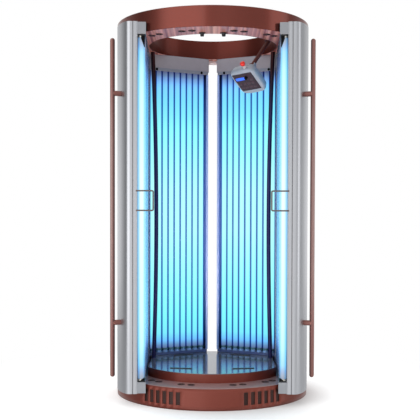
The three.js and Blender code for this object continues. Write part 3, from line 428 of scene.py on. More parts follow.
def painted_streak_enamel(name, dark, light):
    material, tree, shader = new_finish(name, light, 0.5, Coat_Weight=0.25, Coat_Roughness=0.1,
                                        Coat_IOR=LACQUER_IOR)
    # Painted reflections: the colour runs from dark to light in streaks along X.
    streaks = {"W": place_along(tree, "X"), "Scale": 1 / (STREAK_MM * MM), "Detail": 2.0}
    noise = add(tree, "TexNoise", streaks, noise_dimensions="1D")
    spread = add(tree, "MapRange", {0: noise.outputs[0], 1: 0.35, 2: 0.65}).outputs[0]
    tint(tree, shader, spread, dark, light)
    ripple(tree, shader)
    return material


soffit_enamel = painted_streak_enamel("brown_enamel_painted_streaks", "7A3A30", "C08576")

# %% [markdown]
# ### Anodised aluminium and steel
#
# The door posts are extruded, satin etched and anodised silver. The die leaves faint lines along
# the length, so the noise is drawn out along Z. Shoes and mops roughen a post from knee height
# down to the ledge.

# %% Anodised aluminium and steel
WEAR_TOP = 0.75
LINE_MM = 2


def satin_metal(name, dark, light, roughness, run=400, foot_wear=0.0):
    """Run is how many times longer than wide the lines are. Foot wear is a roughness that is added."""
    material, tree, shader = new_finish(name, light, roughness, metallic=1.0)
    lines = blotches(tree, LINE_MM, stretch=(1, 1, run))
    tint(tree, shader, lines, dark, light)
    gloss_range(tree, shader, lines, roughness - 0.05, roughness + 0.07)
    if foot_wear:
        drawn = shader.inputs["Roughness"].links[0].from_socket
        wear = {0: place_along(tree, "Z"), 1: BASE_TOP, 2: WEAR_TOP, 3: foot_wear, 4: 0.0}
        graded = add(tree, "MapRange", wear).outputs[0]
        rough = add(tree, "Math", {0: drawn, 1: graded}, operation="ADD").outputs[0]
        tree.links.new(rough, shader.inputs["Roughness"])
    relief(tree, shader, lines, 0.02, 0.3)
    return material


SILVER = ("B6B8BD", "CED0D5")
anodised_aluminium = satin_metal("silver_anodised_aluminium", *SILVER, 0.27)
post_aluminium = satin_metal("worn_anodised_aluminium", *SILVER, 0.27, foot_wear=0.25)
satin_steel = satin_metal("satin_steel", "7C7B7E", "96959A", 0.3, run=60)
wire_steel = satin_metal("drawn_steel_wire", "6E6462", "867A78", 0.35, run=1)
cap_aluminium = satin_metal("lamp_cap_aluminium", "D2CAB4", "EAE4D2", 0.35, run=1)

# %% [markdown]
# ### Bright sheet
#
# The plate to stand on is rolled bright and polished, and feet have scuffed it. It mirrors the
# lamps with faint wipe marks, so one broad noise drives both the colour and the roughness.

# %% Bright sheet
def wipe_marks(tree):
    """Wipes of a cloth from side to side, about 60 mm wide and three times as long."""
    return blotches(tree, 60, stretch=(3, 1, 1), detail=3.0)


def mirror_sheet(name, dark, light, smooth, rough, metallic):
    material, tree, shader = new_finish(name, light, smooth, metallic)
    wipes = wipe_marks(tree)
    tint(tree, shader, wipes, dark, light)
    gloss_range(tree, shader, wipes, smooth, rough)
    return material


mirror_steel = mirror_sheet("mirror_polished_steel", "7A787F", "868389", 0.06, 0.14, 0.45)

# %% [markdown]
# ### Powder coat
#
# The covers, casings and end blocks are powder coated. The powder flows out as it bakes and leaves
# a fine orange peel, about 2 mm from bump to bump.

# %% Powder coat
PEEL_MM = 2


def powder_coat(name, dark, light, roughness=0.42):
    material, tree, shader = new_finish(name, light, roughness)
    peel = blotches(tree, PEEL_MM)
    tint(tree, shader, blotches(tree, 40, detail=4.0), dark, light)
    gloss_range(tree, shader, peel, roughness - 0.06, roughness + 0.08)
    relief(tree, shader, peel, 0.04, 0.4)
    return material


grey_powder = powder_coat("grey_powder_coat", "847F84", "908B91")
light_grey_powder = powder_coat("light_grey_powder_coat", "8A8C92", "979A9F")
# A darker copy of the light grey powder, for the door's head blocks: painted shade.
shaded_block_powder = powder_coat("grey_powder_coat_painted_shade", "7F8187", "8B8D92")
# Near white, paler than the tie's own grey: painted light on its front, which the ring shades.
brightened_grey_powder = powder_coat("near_white_powder_painted_light", "F0ECEE", "FCF8FA")
rail_powder = powder_coat("blue_grey_rail_coat", "4C5780", "58648E", 0.3)
hem_powder = powder_coat("hem_powder_coat", "70737E", "7B7F8A")
trim_powder = powder_coat("pale_blue_trim_coat", "94A8D6", "A2B6E2", 0.35)

# %% [markdown]
# ### Moulded plastic and rubber
#
# Housings, knobs and sockets are injection moulded. The mould is spark eroded, so it leaves an even
# pebble grain well under a millimetre, which is drawn at 1.5 mm here. Rubber has the same grain and
# less shine.

# %% Moulded plastic and rubber
GRAIN_MM = 1.5


def moulded_plastic(name, dark, light, roughness, shine=0.5):
    material, tree, shader = new_finish(name, light, roughness, Specular_IOR_Level=shine)
    grain = blotches(tree, GRAIN_MM)
    tint(tree, shader, blotches(tree, 25), dark, light)
    gloss_range(tree, shader, grain, roughness - 0.05, roughness + 0.08)
    relief(tree, shader, grain, 0.03, 0.3)
    return material


console_plastic = moulded_plastic("silver_grey_abs", "868F99", "929BA6", 0.28)
black_plastic = moulded_plastic("black_abs", "0E0E10", "19191B", 0.35)
black_rubber = moulded_plastic("matt_black_rubber", "060607", "0C0C0E", 0.7, 0.1)
grey_plastic = moulded_plastic("pale_grey_abs", "A29EA1", "B0ACAF", 0.3)
seam_rubber = moulded_plastic("grey_seam_rubber", "66666A", "727276", 0.6)
# Blue-black strips in the gap behind each door: painted shade.
gap_shade_rubber = moulded_plastic("blue_black_gap_shade", "14305E", "1C3C70", 0.6)
red_plastic = moulded_plastic("red_abs", "C81E14", "E03324", 0.3)
white_plastic = moulded_plastic("white_abs", "D2D2D0", "E6E6E3", 0.35)
green_plastic = moulded_plastic("green_lamp_cap", "4A747C", "5C8A94", 0.4)
holder_plastic = moulded_plastic("pale_blue_pbt", "84A8D0", "90B4DC", 0.35)
key_film = moulded_plastic("plum_key_film", "2E1C22", "38242A", 0.5)
key_caps = moulded_plastic("plum_key_fields", "3C272E", "463037", 0.5)

# %% [markdown]
# ### Lamp glass
#
# A tanning lamp is a low-pressure tube whose rear half carries a reflector under the phosphor. Its
# front is cyan-white and its back a deeper blue, and the glow falls off towards the electrodes. Both
# follow the tube itself and not the eye: the colour comes from the height on the tube and from the
# direction in which the glass faces. The lamps outshine the studio, so the glass itself is dark.

# %% Colours along a piece
GLOW_RUN = 800


def shades(tree, factor, stops):
    ramp = add(tree, "ValToRGB", {0: factor})
    elements = ramp.color_ramp.elements
    while len(elements) < len(stops):
        elements.new(1.0)
    for element, (position, shade) in zip(elements, stops):
        element.position = position
        element.color = shade
    return ramp.outputs[0]


def shades_over(tree, distance, stops):
    """Colours by millimetres of a distance that a socket gives in metres."""
    along = add(tree, "MapRange", {0: distance, 2: GLOW_RUN * MM}).outputs[0]
    return shades(tree, along, [(run / GLOW_RUN, colour(shade)) for run, shade in stops])


def shades_from_ends(tree, low, high, stops, head_stops=None):
    """Colours by millimetres from the nearer end, which the head stops dim from the top down."""
    height = place_along(tree, "Z")
    from_low = add(tree, "Math", {0: height, 1: low}, operation="SUBTRACT").outputs[0]
    from_high = add(tree, "Math", {0: high, 1: height}, operation="SUBTRACT").outputs[0]
    nearer = add(tree, "Math", {0: from_low, 1: from_high}, operation="MINIMUM").outputs[0]
    ends = shades_over(tree, nearer, stops)
    if not head_stops:
        return ends
    head = shades_over(tree, from_high, head_stops)
    both = {0: 1.0, 6: ends, 7: head}
    return add(tree, "Mix", both, data_type="RGBA", blend_type="MULTIPLY").outputs[2]


# %% Lamp glass
def cosine_to(tree, direction):
    """How far the surface of a piece faces a direction, from -1 to 1."""
    facet = add(tree, "TexCoord").outputs["Normal"]
    facing = add(tree, "VectorMath", {0: facet, 1: direction}, operation="DOT_PRODUCT")
    return facing.outputs["Value"]


def lamp_glass(name, bright_side, low, high, glow_stops, flanks, head_stops=None):
    """Glow by millimetres from an end. A flank is a cosine to the bright side and what is left."""
    material, tree, shader = new_finish(name, "1C2A38", 0.2)
    glow = shades_from_ends(tree, low, high, glow_stops, head_stops)
    facing = add(tree, "MapRange", {0: cosine_to(tree, bright_side), 1: -1.0}).outputs[0]
    left = shades(tree, facing, [((cosine + 1) / 2, colour(shade)) for cosine, shade in flanks])
    both = {0: 1.0, 6: glow, 7: left}
    seen = add(tree, "Mix", both, data_type="RGBA", blend_type="MULTIPLY")
    tree.links.new(seen.outputs[2], shader.inputs["Emission Color"])
    shader.inputs["Emission Strength"].default_value = 1.0
    return material


# %% [markdown]
# ### Lamp reflectors
#
# Behind the lamps lies bright sheet. The lamps' blue light on it is painted into its colour, and this
# painted light dulls towards their dark ends and under the cover. It is painted, because so weak a glow
# would take many samples to settle.

# %% Lamp reflectors
PAINTED_GLOW_STOPS = [(0, "1A2844"), (70, "24385C"), (220, "4C68A0"), (500, "7C98D8"), (GLOW_RUN, "8CA8E8")]
PAINTED_HEAD_SHADE = [(0, "C0C0C0"), (300, "FFFFFF")]


def reflector_sheet(low, high):
    material, tree, shader = new_finish("lamp_reflector_sheet", "9CB6F4", 0.3, 0.2)
    # Painted lamp light: blue by the distance from the lamps' nearer end, dimmed under the cover.
    painted_glow = shades_from_ends(tree, low, high, PAINTED_GLOW_STOPS, PAINTED_HEAD_SHADE)
    tree.links.new(painted_glow, shader.inputs["Base Color"])
    gloss_range(tree, shader, wipe_marks(tree), 0.25, 0.35)
    return material


lamp_reflector = reflector_sheet(*levels("rear_lamp_bank_left"))

# %% [markdown]
# ### Clear and lit plastics
#
# The doors' shields are cast acrylic sheet: nearly all of the light goes through, with a faint
# blue-grey cast. The console's display is backlit in blue under a clear window, so it glows.

# %% Clear and lit plastics
def clear_acrylic():
    material, tree, shader = new_finish("clear_cast_acrylic", "A9C6E6", 0.06, Alpha=0.1)
    gloss_range(tree, shader, blotches(tree, 80), 0.04, 0.1)
    return material


def lit_display():
    material, tree, shader = new_finish(
        "blue_backlit_display", "2B50C8", 0.12, Emission_Color=colour("3B6BF0"), Emission_Strength=0.75)
    tint(tree, shader, blotches(tree, 18), "2348C0", "3A64E8")
    return material


acrylic = clear_acrylic()
display_glass = lit_display()
print("finishes", len(bpy.data.materials))

# %% [markdown]
# ## Camera and studio
#
# The camera stands a little over five metres in front of the booth at chest height, and looks down
# by about one degree. The studio is a world of plain grey zones: a bright background, a wide soft
# box in front on the left, a weaker one on the right and a darker gap between them and the back.
# Those zones are what the lacquer and the aluminium mirror.

# %% Camera
CAMERA_AT = (0.0, -5.4544, 1.0971)
CAMERA_PITCH = 0.02433
CAMERA_ROLL = 0.0027
CAMERA_LENS = 73.453
CAMERA_SHIFT = (-0.0057, 0.07)

scene = bpy.context.scene
scene.view_settings.view_transform = "Standard"
camera = bpy.data.objects.new("camera", bpy.data.cameras.new("camera"))
scene.collection.objects.link(camera)
camera.data.sensor_width = 36
camera.data.lens = CAMERA_LENS
camera.data.shift_x, camera.data.shift_y = CAMERA_SHIFT
aim = Matrix.Rotation(math.pi / 2 - CAMERA_PITCH, 4, "X") @ Matrix.Rotation(CAMERA_ROLL, 4, "Z")
camera.matrix_world = at(*CAMERA_AT) @ aim
scene.camera = camera
print("camera at", CAMERA_AT, "lens", CAMERA_LENS)

# %% Studio world
# Each stop is a turn of the compass from the camera's side by way of the left, and a brightness.
STUDIO_STOPS = [
    (0.00, 0.66), (0.02, 0.72), (0.03, 1.40), (0.15, 1.40), (0.17, 1.10), (0.19, 0.52), (0.21, 0.34),
    (0.26, 0.20), (0.29, 0.30), (0.33, 0.42), (0.38, 0.60), (0.43, 0.75), (0.50, 0.85), (0.57, 0.75),
    (0.62, 0.56), (0.67, 0.44), (0.72, 0.32), (0.735, 1.05), (0.80, 1.20), (0.812, 0.55), (0.87, 0.56),
    (0.92, 0.64), (0.96, 0.76), (0.99, 0.72), (1.00, 0.66),
]
SKY_FROM, SKY_FULL = 0.55, 0.8
LEVEL_GAIN = 1.45
LEVEL_BAND = 0.22
BACKGROUND = 1.0


def grey(brightness):
    return brightness, brightness, brightness, 1


world = bpy.data.worlds.new("studio")
scene.world = world
world.use_nodes = True
tree = world.node_tree
direction = add(tree, "SeparateXYZ", {0: add(tree, "TexCoord").outputs["Generated"]}).outputs
compass = add(tree, "Math", {0: direction["X"], 1: direction["Y"]}, operation="ARCTAN2").outputs[0]
turn = add(tree, "MapRange", {0: compass, 1: -math.pi, 2: math.pi}).outputs[0]
zones = shades(tree, turn, [(stop, grey(brightness)) for stop, brightness in STUDIO_STOPS])
overhead = add(tree, "MapRange", {0: direction["Z"], 1: SKY_FROM, 2: SKY_FULL}).outputs[0]
lit = add(tree, "Mix", {0: overhead, 6: zones, 7: grey(1.0)}, data_type="RGBA").outputs[2]
from_level = add(tree, "Math", {0: direction["Z"]}, operation="ABSOLUTE").outputs[0]
gain = add(tree, "MapRange", {0: from_level, 2: LEVEL_BAND, 3: LEVEL_GAIN, 4: 1.0}).outputs[0]
seen = add(tree, "LightPath").outputs["Is Camera Ray"]
shown = add(tree, "Mix", {0: seen, 6: lit, 7: grey(BACKGROUND)}, data_type="RGBA").outputs[2]
strength = add(tree, "Mix", {0: seen, 2: gain, 3: 1.0}).outputs[0]
tree.links.new(shown, tree.nodes["Background"].inputs["Color"])
tree.links.new(strength, tree.nodes["Background"].inputs["Strength"])
print("studio of", len(STUDIO_STOPS), "zones")

# %% Lights
# The last light stands in the booth and shines up, as a floor throws warm light under the ring.
LIGHTS = [
    ("key", (-3.2, -4.2, 3.6), (0, 0, 1.1), 3.0, 70, "FFFFFF"),
    ("fill", (3.4, -4.0, 2.8), (0, 0, 1.1), 3.0, 24, "FFFFFF"),
    ("back", (0.0, 3.6, 4.4), (0, 0, 1.1), 3.0, 60, "FFFFFF"),
    ("uplight", (0.0, -0.4, 0.3), (0, -0.4, 2.2), 0.6, 20, "FFDCCC"),
]
for name, place, target, size, watts, tone in LIGHTS:
    lamp = bpy.data.lights.new(name, "AREA")
    lamp.size = size
    lamp.energy = watts
    lamp.color = colour(tone)[:3]
    light = bpy.data.objects.new(name, lamp)
    scene.collection.objects.link(light)
    light.location = place
    light.rotation_euler = (Vector(target) - Vector(place)).to_track_quat("-Z", "Y").to_euler()
    light.visible_glossy = False
    light.visible_camera = False
    print("light", name, watts, "W")

# %% [markdown]
# ### Pale floor
#
# Near the booth the floor takes its soft shadow; further out it turns into the white background.
# The shade at the foot lies a little to the right and reaches further out in front. It is drawn in
# the floor's own finish, by the distance from a centre, which counts for less towards the front.

# %% Pale floor
FLOOR_RADIUS = 30.0
FLOOR_STEPS = 64
FLOOR_GLOW = 0.3
SHADOW_FROM, SHADOW_TO = 0.9, 1.9
SHADE_CENTRE = (0.1, 0.0, 0.0)
SHADE_FROM, SHADE_TO = 0.5, 0.75
SHADE_STOPS = [(0.0, 0.66), (0.16, 0.74), (0.31, 0.825), (0.46, 0.89), (0.62, 0.95), (0.8, 1.0)]
FRONT_FROM = 0.45
FRONT_DRAW = 0.65


def foot_shade(tree, spot):
    offset = add(tree, "VectorMath", {0: spot, 1: SHADE_CENTRE}, operation="SUBTRACT").outputs[0]
    reach = add(tree, "VectorMath", {0: offset}, operation="LENGTH").outputs["Value"]
    back = add(tree, "SeparateXYZ", {0: offset}).outputs["Y"]
    turn = add(tree, "Math", {0: back, 1: reach}, operation="DIVIDE").outputs[0]
    ahead = add(tree, "MapRange", {0: turn, 1: 0.0, 2: -1.0}).outputs[0]
    ahead = add(tree, "Math", {0: ahead, 1: 2.0}, operation="POWER").outputs[0]
    past = add(tree, "Math", {0: reach, 1: FRONT_FROM}, operation="SUBTRACT").outputs[0]
    past = add(tree, "Math", {0: past, 1: FRONT_DRAW}, operation="MULTIPLY").outputs[0]
    drawn = add(tree, "Math", {0: past, 1: ahead}, operation="MULTIPLY").outputs[0]
    run = add(tree, "Math", {0: reach, 1: drawn}, operation="SUBTRACT").outputs[0]
    run = add(tree, "MapRange", {0: run, 1: SHADE_FROM, 2: SHADE_TO}).outputs[0]
    return shades(tree, run, [(stop, grey(brightness)) for stop, brightness in SHADE_STOPS])


def pale_floor():
    material = bpy.data.materials.new("pale_floor")
    material.use_nodes = True
    tree = material.node_tree
    tree.nodes.clear()
    spot = add(tree, "TexCoord").outputs["Object"]
    away = add(tree, "VectorMath", {0: spot}, operation="LENGTH").outputs["Value"]
    far = {0: away, 1: SHADOW_FROM, 2: SHADOW_TO}
    far = add(tree, "MapRange", far, interpolation_type="SMOOTHSTEP").outputs[0]
    matt = add(tree, "BsdfDiffuse", {"Color": colour("F2F2F2")}).outputs[0]
    lift = add(tree, "Emission", {"Strength": FLOOR_GLOW}).outputs[0]
    near = add(tree, "AddShader", {0: matt, 1: lift}).outputs[0]
    near = add(tree, "MixShader", {0: foot_shade(tree, spot), 2: near}).outputs[0]
    white = add(tree, "Emission", {"Strength": BACKGROUND}).outputs[0]
    mix = add(tree, "MixShader", {0: far, 1: near, 2: white}).outputs[0]
    add(tree, "OutputMaterial", {0: mix})
    return material


floor_mesh = bpy.data.meshes.new("floor")
floor_points = [(x, y, 0) for x, y in circle(FLOOR_RADIUS, FLOOR_STEPS)]
floor_mesh.from_pydata(floor_points, [], [tuple(range(FLOOR_STEPS))])
floor_mesh.materials.append(pale_floor())
floor = bpy.data.objects.new("floor", floor_mesh)
scene.collection.objects.link(floor)
floor.location.z = -MM
floor.visible_glossy = False
print("floor of radius", FLOOR_RADIUS)

# %% [markdown]
# ## Base drum
#
# The drum's wall is rolled sheet with twelve air slots in front. Cutting slots with booleans leaves
# ragged shading on a round wall, so the wall is laid out as a grid of columns and rows, and the
# cells of the slots are simply left out. A solidify modifier then gives the sheet its thickness.

# %% Drum wall
SLOT_WIDTH = 25.5 * MM
SLOT_EDGE = 27 * MM
SLOT_HIGH = BASE_TOP - SLOT_EDGE
SLOT_DEG = math.degrees(SLOT_WIDTH / 2 / BOOTH_RADIUS)
FIRST_SLOT_DEG, SLOT_STEP_DEG, SLOTS_A_SIDE = 19, 4.2, 6
SLOT_ROW = 1
WALL_STEP_DEG = 3
slot_centres = sorted(
    sign * (FIRST_SLOT_DEG + SLOT_STEP_DEG * i) for sign in (-1, 1) for i in range(SLOTS_A_SIDE))


def slot_distance(degrees):
    return min(abs(degrees - centre) for centre in slot_centres)


def drum_wall():
    edges = [centre + side * SLOT_DEG for centre in slot_centres for side in (-1, 1)]
    free = [d for d in range(-180, 180, WALL_STEP_DEG) if slot_distance(d) > 2 * SLOT_DEG]
    columns = sorted(edges + free)
    rows = [0.0, SLOT_EDGE, SLOT_HIGH, BASE_TOP - SHEET - SEAT_GAP]
    points = [(*on_circle(BOOTH_RADIUS, d), z) for d in columns for z in rows]
    faces = []
    for i, start in enumerate(columns):
        following = (i + 1) % len(columns)
        in_slot = slot_distance((start + columns[following]) / 2) < SLOT_DEG / 2
        for row in range(len(rows) - 1):
            if in_slot and row == SLOT_ROW:
                continue
            here, there = i * len(rows) + row, following * len(rows) + row
            faces.append((here, there, there + 1, here + 1))
    return points, faces


piece("base_wall", drum_wall(), base_enamel, "base_band", thickness=SHEET)

# %% [markdown]
# ### Woven wire in the slots
#
# A wire mesh behind the slots keeps things out of the fans. Each wire is a thin bar; only the wires
# that a slot shows are made, in front of the frame's plain mesh sheet. What stands further inside
# the drum keeps its own shape.

# %% Woven wire in the slots
WIRE_PITCH = 4.2 * MM
WIRE_HALF = 0.7 * MM
WIRES_ACROSS = 5
MESH_DEPTH = BOOTH_RADIUS - 4 * MM


def slot_wires():
    wires = []
    for i in range(1, WIRES_ACROSS + 1):
        x = i * WIRE_PITCH - SLOT_WIDTH / 2
        low = (x - WIRE_HALF, -MESH_DEPTH, SLOT_EDGE)
        wires.append(block(low, (x + WIRE_HALF, -MESH_DEPTH + 2 * WIRE_HALF, SLOT_HIGH)))
    for i in range(1, int((SLOT_HIGH - SLOT_EDGE) / WIRE_PITCH) + 1):
        z = SLOT_EDGE + i * WIRE_PITCH
        low = (-SLOT_WIDTH / 2, -MESH_DEPTH - WIRE_HALF, z - WIRE_HALF)
        wires.append(block(low, (SLOT_WIDTH / 2, -MESH_DEPTH + WIRE_HALF, z + WIRE_HALF)))
    return joined(wires)


all_wires = joined([moved(slot_wires(), spun(centre)) for centre in slot_centres])
piece("slot_wires", all_wires, shade_enamel)
dress("vent_mesh", shade_enamel)
dress("base_floor", satin_steel)
dress("control_box", light_grey_powder, EDGE)
dress("fan_frame_{}", black_plastic)
dress("fan_rotor_{}", black_plastic)

# %% [markdown]
# ## Ledge, step and mirror plate
#
# The ledge is a flat ring with round air vents. The step inside it carries a polished plate to stand
# on, with four air slots. All three are plates that are filled with their holes in one go.

# %% Ledge
VENT_RADIUS = 20 * MM
VENT_CIRCLE = BOOTH_RADIUS - 98 * MM
VENT_PAIRS_DEG = (17.5, 42.5)
VENT_APART_DEG = (-3.5, 3.5)
vent_degrees = [
    sign * (middle + half) for sign in (-1, 1) for middle in VENT_PAIRS_DEG for half in VENT_APART_DEG]
vent_places = [on_circle(VENT_CIRCLE, degrees) for degrees in vent_degrees]
vent_holes = [circle(VENT_RADIUS, 32, place) for place in vent_places]


def platform_outline(grow):
    radius = PLATFORM_RADIUS + grow
    corner = math.degrees(math.acos((PLATFORM_HALF_WIDTH + grow) / radius))
    return [*arc(radius, corner, 180 - corner, 64), *arc(radius, 180 + corner, 360 - corner, 64)]


ledge_holes = [platform_outline(SEAT_GAP), *vent_holes]
ledge = plate(circle(BOOTH_RADIUS, ROUND_STEPS), BASE_TOP - SHEET, BASE_TOP, ledge_holes)
print("ledge with", len(vent_holes), "vent holes")

# %% Platform
GRATES = [(-250 * MM, 8), (266 * MM, -18.7)]
GRATE_X = 190 * MM
GRATE_SIZE = (138 * MM, 18 * MM)
FILL_PROUD = 4 * MM
FILL_FOOT = 2 * MM
RISER_LOW = 4.3 * MM


def grate_holes(inset=0.0):
    length, width = (size - 2 * inset for size in GRATE_SIZE)
    hole = rounded_rectangle(-length / 2, length / 2, -width / 2, width / 2, width / 2 - MM)
    holes = []
    for sign in (-1, 1):
        for y, degrees in GRATES:
            place = at(sign * GRATE_X, y) @ spun(sign * degrees)
            holes.append([tuple(place @ Vector((*point, 0)))[:2] for point in hole])
    return holes


riser_high = PLATFORM_TOP - SHEET - SEAT_GAP
riser = plate(platform_outline(0), RISER_LOW, riser_high, [platform_outline(-SHEET)])
standing = plate(platform_outline(0), PLATFORM_TOP - SHEET, PLATFORM_TOP, grate_holes())
# Painted shade: black blocks fill the air slots, a little inset and slightly proud, so the slots read dark.
fill_low, fill_high = PLATFORM_TOP - FILL_FOOT, PLATFORM_TOP + FILL_PROUD
dark_slot_fills = joined([prism(hole, fill_low, fill_high) for hole in grate_holes(MM)])
piece("platform_dark_slot_fills", dark_slot_fills, black_plastic, bevel=EDGE)
piece("ledge", ledge, ledge_enamel, "base_ledge", bevel=EDGE)
piece("step", riser, base_enamel, "platform_riser")
piece("standing_plate", standing, mirror_steel, "platform_plate", bevel=EDGE)

# %% [markdown]
# ### Air vents
#
# A vent is a round louvre: a rim, a hub and leaning blades over a dark cup. It is made once, facing
# up at the origin, and set into the holes of the ledge and, upside down, of the ring. Profiles are
# lists of a radius and a height in millimetres.

# %% Air vents
VENT_RIM = [(17, 0), (23, 0), (22, 2), (18, 2)]
VENT_HUB = [(6, -3), (6, 1), (4, 2)]
VENT_CUP = [(20, -14), (20, -9)]
BLADE = [(4, -3.5, -0.6), (20, 3.5, 0.6)]
BLADE_LEAN_DEG = 32
BLADES = 9


def vent():
    blade = moved(block(*in_mm(BLADE)), spun(BLADE_LEAN_DEG, "X"))
    blades = [moved(blade, spun(360 * i / BLADES)) for i in range(BLADES)]
    return joined([hooped(in_mm(VENT_RIM), 32), turned(in_mm(VENT_HUB), 20), *blades])


def set_vents(plate_name, placing):
    vents = row_of(moved(vent(), placing), vent_places)
    cups = row_of(moved(turned(in_mm(VENT_CUP)), placing), vent_places)
    piece(f"{plate_name}_vents", vents, shade_enamel)
    piece(f"{plate_name}_vent_cups", cups, black_plastic)


set_vents("ledge", at(0, 0, BASE_TOP))

# %% [markdown]
# ## Overhead ring
#
# Two rolled bands, a lid and a soffit make a hollow ring. The bands are hoops with softened rims,
# so that a thin line of light runs along each edge.

# %% Ring
NOZZLE_BALL = 15 * MM
nozzle_places = [Vector(joints[f"{side}_nozzle_tilt"]["pos_m"]) for side in SIDES]
nozzle_holes = [circle(NOZZLE_BALL + MM, 32, (place.x, place.y)) for place in nozzle_places]


def band(inner):
    """A rolled band from an inner radius out, with a rim that is softened by a third of its sheet."""
    outer, soft = inner + SHEET, SHEET / 3
    return hooped([
        (inner, RING_LOW + soft), (inner + soft, RING_LOW),
        (outer - soft, RING_LOW), (outer, RING_LOW + soft),
        (outer, RING_HIGH - soft), (outer - soft, RING_HIGH),
        (inner + soft, RING_HIGH), (inner, RING_HIGH - soft),
    ])


outside = circle(BOOTH_RADIUS - SHEET - SEAT_GAP, ROUND_STEPS)
inside = circle(RING_INNER + SHEET + SEAT_GAP, ROUND_STEPS)
soffit = plate(outside, RING_LOW, RING_LOW + SHEET, [inside, *vent_holes, *nozzle_holes])
lid = plate(outside, RING_HIGH - SHEET, RING_HIGH, [inside])
piece("ring_outer_hoop", band(BOOTH_RADIUS - SHEET), brown_enamel, "ring_band")
piece("ring_inner_hoop", band(RING_INNER), inner_enamel, "ring_inner_band")
piece("ring_underside", soffit, soffit_enamel, "ring_soffit")
piece("ring_top", lid, brown_enamel, "ring_lid")
set_vents("soffit", at(0, 0, RING_LOW) @ spun(180, "X"))

# %% [markdown]
# ### Air nozzles
#
# Two eyeball nozzles blow air on the user's head. The ball turns in a ring, and its snout is a short
# tube, so both are turned profiles.

# %% Air nozzles
NOZZLE_MOUTH = [(11, -14), (11, -21), (10, -22), (7.5, -22), (7, -21), (7, -6)]
NOZZLE_RIM = [(16, 0), (21, 0), (20, -3), (17, -4)]
eye = turned(arc(NOZZLE_BALL, 90, -30, 10) + in_mm(NOZZLE_MOUTH), 28)
nozzle_rim = hooped(in_mm(NOZZLE_RIM), 32)
for side, place in zip(SIDES, nozzle_places):
    piece(f"nozzle_eye_{side}", moved(eye, at(*place)), black_plastic,
          f"nozzle_{side}", f"{side}_nozzle")
    rim = moved(nozzle_rim, at(place.x, place.y, RING_LOW))
    piece(f"nozzle_rim_{side}", rim, shade_enamel)

# %% [markdown]
# ## Lamps
#
# A lamp is a glass tube with a metal cap at each end. The caps plug into lampholders on two rails.
# All of them look the same from either end, so a profile is written for one end, as a radius and a
# rise, and turned over for the other. The same makers serve the rear panels and the doors.

# %% Lamp parts
LAMP_RADIUS = 19 * MM
GLASS_END = [(16.5, 0), (18, 2), (19, 4)]
HOLDER_END = [(18, -1), (18, 6), (16, 8)]


def both_ends(end, low, high):
    foot = [(radius, low + rise) for radius, rise in end]
    head = [(radius, high - rise) for radius, rise in reversed(end)]
    return foot, head


def lamp_tube(low, high):
    foot, head = both_ends(in_mm(GLASS_END), low, high)
    return turned(foot + head, 28)


def lamp_caps(low, high, tall_mm):
    end = in_mm([(14, -tall_mm), (18, 2 - tall_mm), (18, 1)])
    return joined([turned(profile, 24) for profile in both_ends(end, low, high)])


def lampholders(low, high, tall_mm):
    """A holder on each rail. One that is taller than its foot goes on as a plain neck."""
    radius, foot_rise = HOLDER_END[-1]
    neck = [(radius, tall_mm)] if tall_mm > foot_rise else []
    end = in_mm(HOLDER_END + neck)
    return joined([turned(profile, 20) for profile in both_ends(end, low, high)])


# %% [markdown]
# ### Rear panels
#
# Each panel is turned 26.7 degrees about the booth's axis. It is made for the left side, where x runs
# along the panel and y to the back, and mirrored for the right.

# %% Panel plan
PANEL_TURN_DEG = 26.7
PANEL_FRONT = 382 * MM
PANEL_WIDTH = 428 * MM
REAR_GAP = 70 * MM
turn_panel = spun(PANEL_TURN_DEG)
panel_turn = math.radians(PANEL_TURN_DEG)
PANEL_INNER = (PANEL_FRONT * math.sin(panel_turn) - REAR_GAP / 2) / math.cos(panel_turn)
PANEL_OUTER = PANEL_INNER - PANEL_WIDTH
PANEL_MIDDLE = (PANEL_INNER + PANEL_OUTER) / 2
rear_low, rear_high = levels("rear_lamp_bank_left")
print("panel from", PANEL_OUTER, "to", PANEL_INNER, "levels", rear_low, rear_high)


def panel_pair(name, shape, material, replaced="", bevel=0.0):
    pair(name, moved(shape, turn_panel), material, replaced, bevel=bevel)


# %% Rear lamps
REAR_PITCH = 44.5 * MM
REAR_LAMPS = 9
LAMP_DEPTH = 27 * MM
RAIL = 17 * MM
REAR_SOCKET_MM = 26
REAR_CAP_MM = 13
HEAD_SHADE = 40 * MM
REAR_FLANKS = [
    (-0.7, "3C5698"), (-0.45, "FFFFFF"), (-0.2, "5070B8"), (0.0, "102C80"), (0.3, "143E9C"),
    (0.52, "3868C4"), (0.70, "FFFFFF"),
]
REAR_GLOW = [
    (0, "586C94"), (20, "648ABC"), (52, "72C8FF"), (103, "7CEEFF"), (200, "80FAFF"), (400, "90FFFF"),
    (GLOW_RUN, "B4FFFF"),
]
REAR_HEAD = [
    (0, "F0CCC4"), (38, "E6BABD"), (58, "F7C4D6"), (86, "FFD6F7"), (127, "FFE3FF"), (195, "FAE8FF"),
    (298, "F7F2FF"), (400, "FFFFFF"),
]
rail_low, rail_high = rear_low + RAIL, rear_high - RAIL
lamp_low, lamp_high = rail_low + REAR_SOCKET_MM * MM, rail_high - REAR_SOCKET_MM * MM
first_x = PANEL_MIDDLE - (REAR_LAMPS - 1) / 2 * REAR_PITCH
rear_row = [(first_x + i * REAR_PITCH, PANEL_FRONT + LAMP_DEPTH) for i in range(REAR_LAMPS)]
rear_glass = lamp_glass("rear_lamp_glass", (0, -1, 0), lamp_low, lamp_high - HEAD_SHADE,
                        REAR_GLOW, REAR_FLANKS, REAR_HEAD)
rear_tubes = row_of(lamp_tube(lamp_low, lamp_high), rear_row)
rear_caps = row_of(lamp_caps(lamp_low, lamp_high, REAR_CAP_MM), rear_row)
rear_holders = row_of(lampholders(rail_low, rail_high, REAR_SOCKET_MM), rear_row)
panel_pair("rear_lamps_{}", rear_tubes, rear_glass, "rear_lamp_bank_{}")
panel_pair("rear_lamp_caps_{}", rear_caps, green_plastic)
panel_pair("rear_lampholders_{}", rear_holders, holder_plastic)

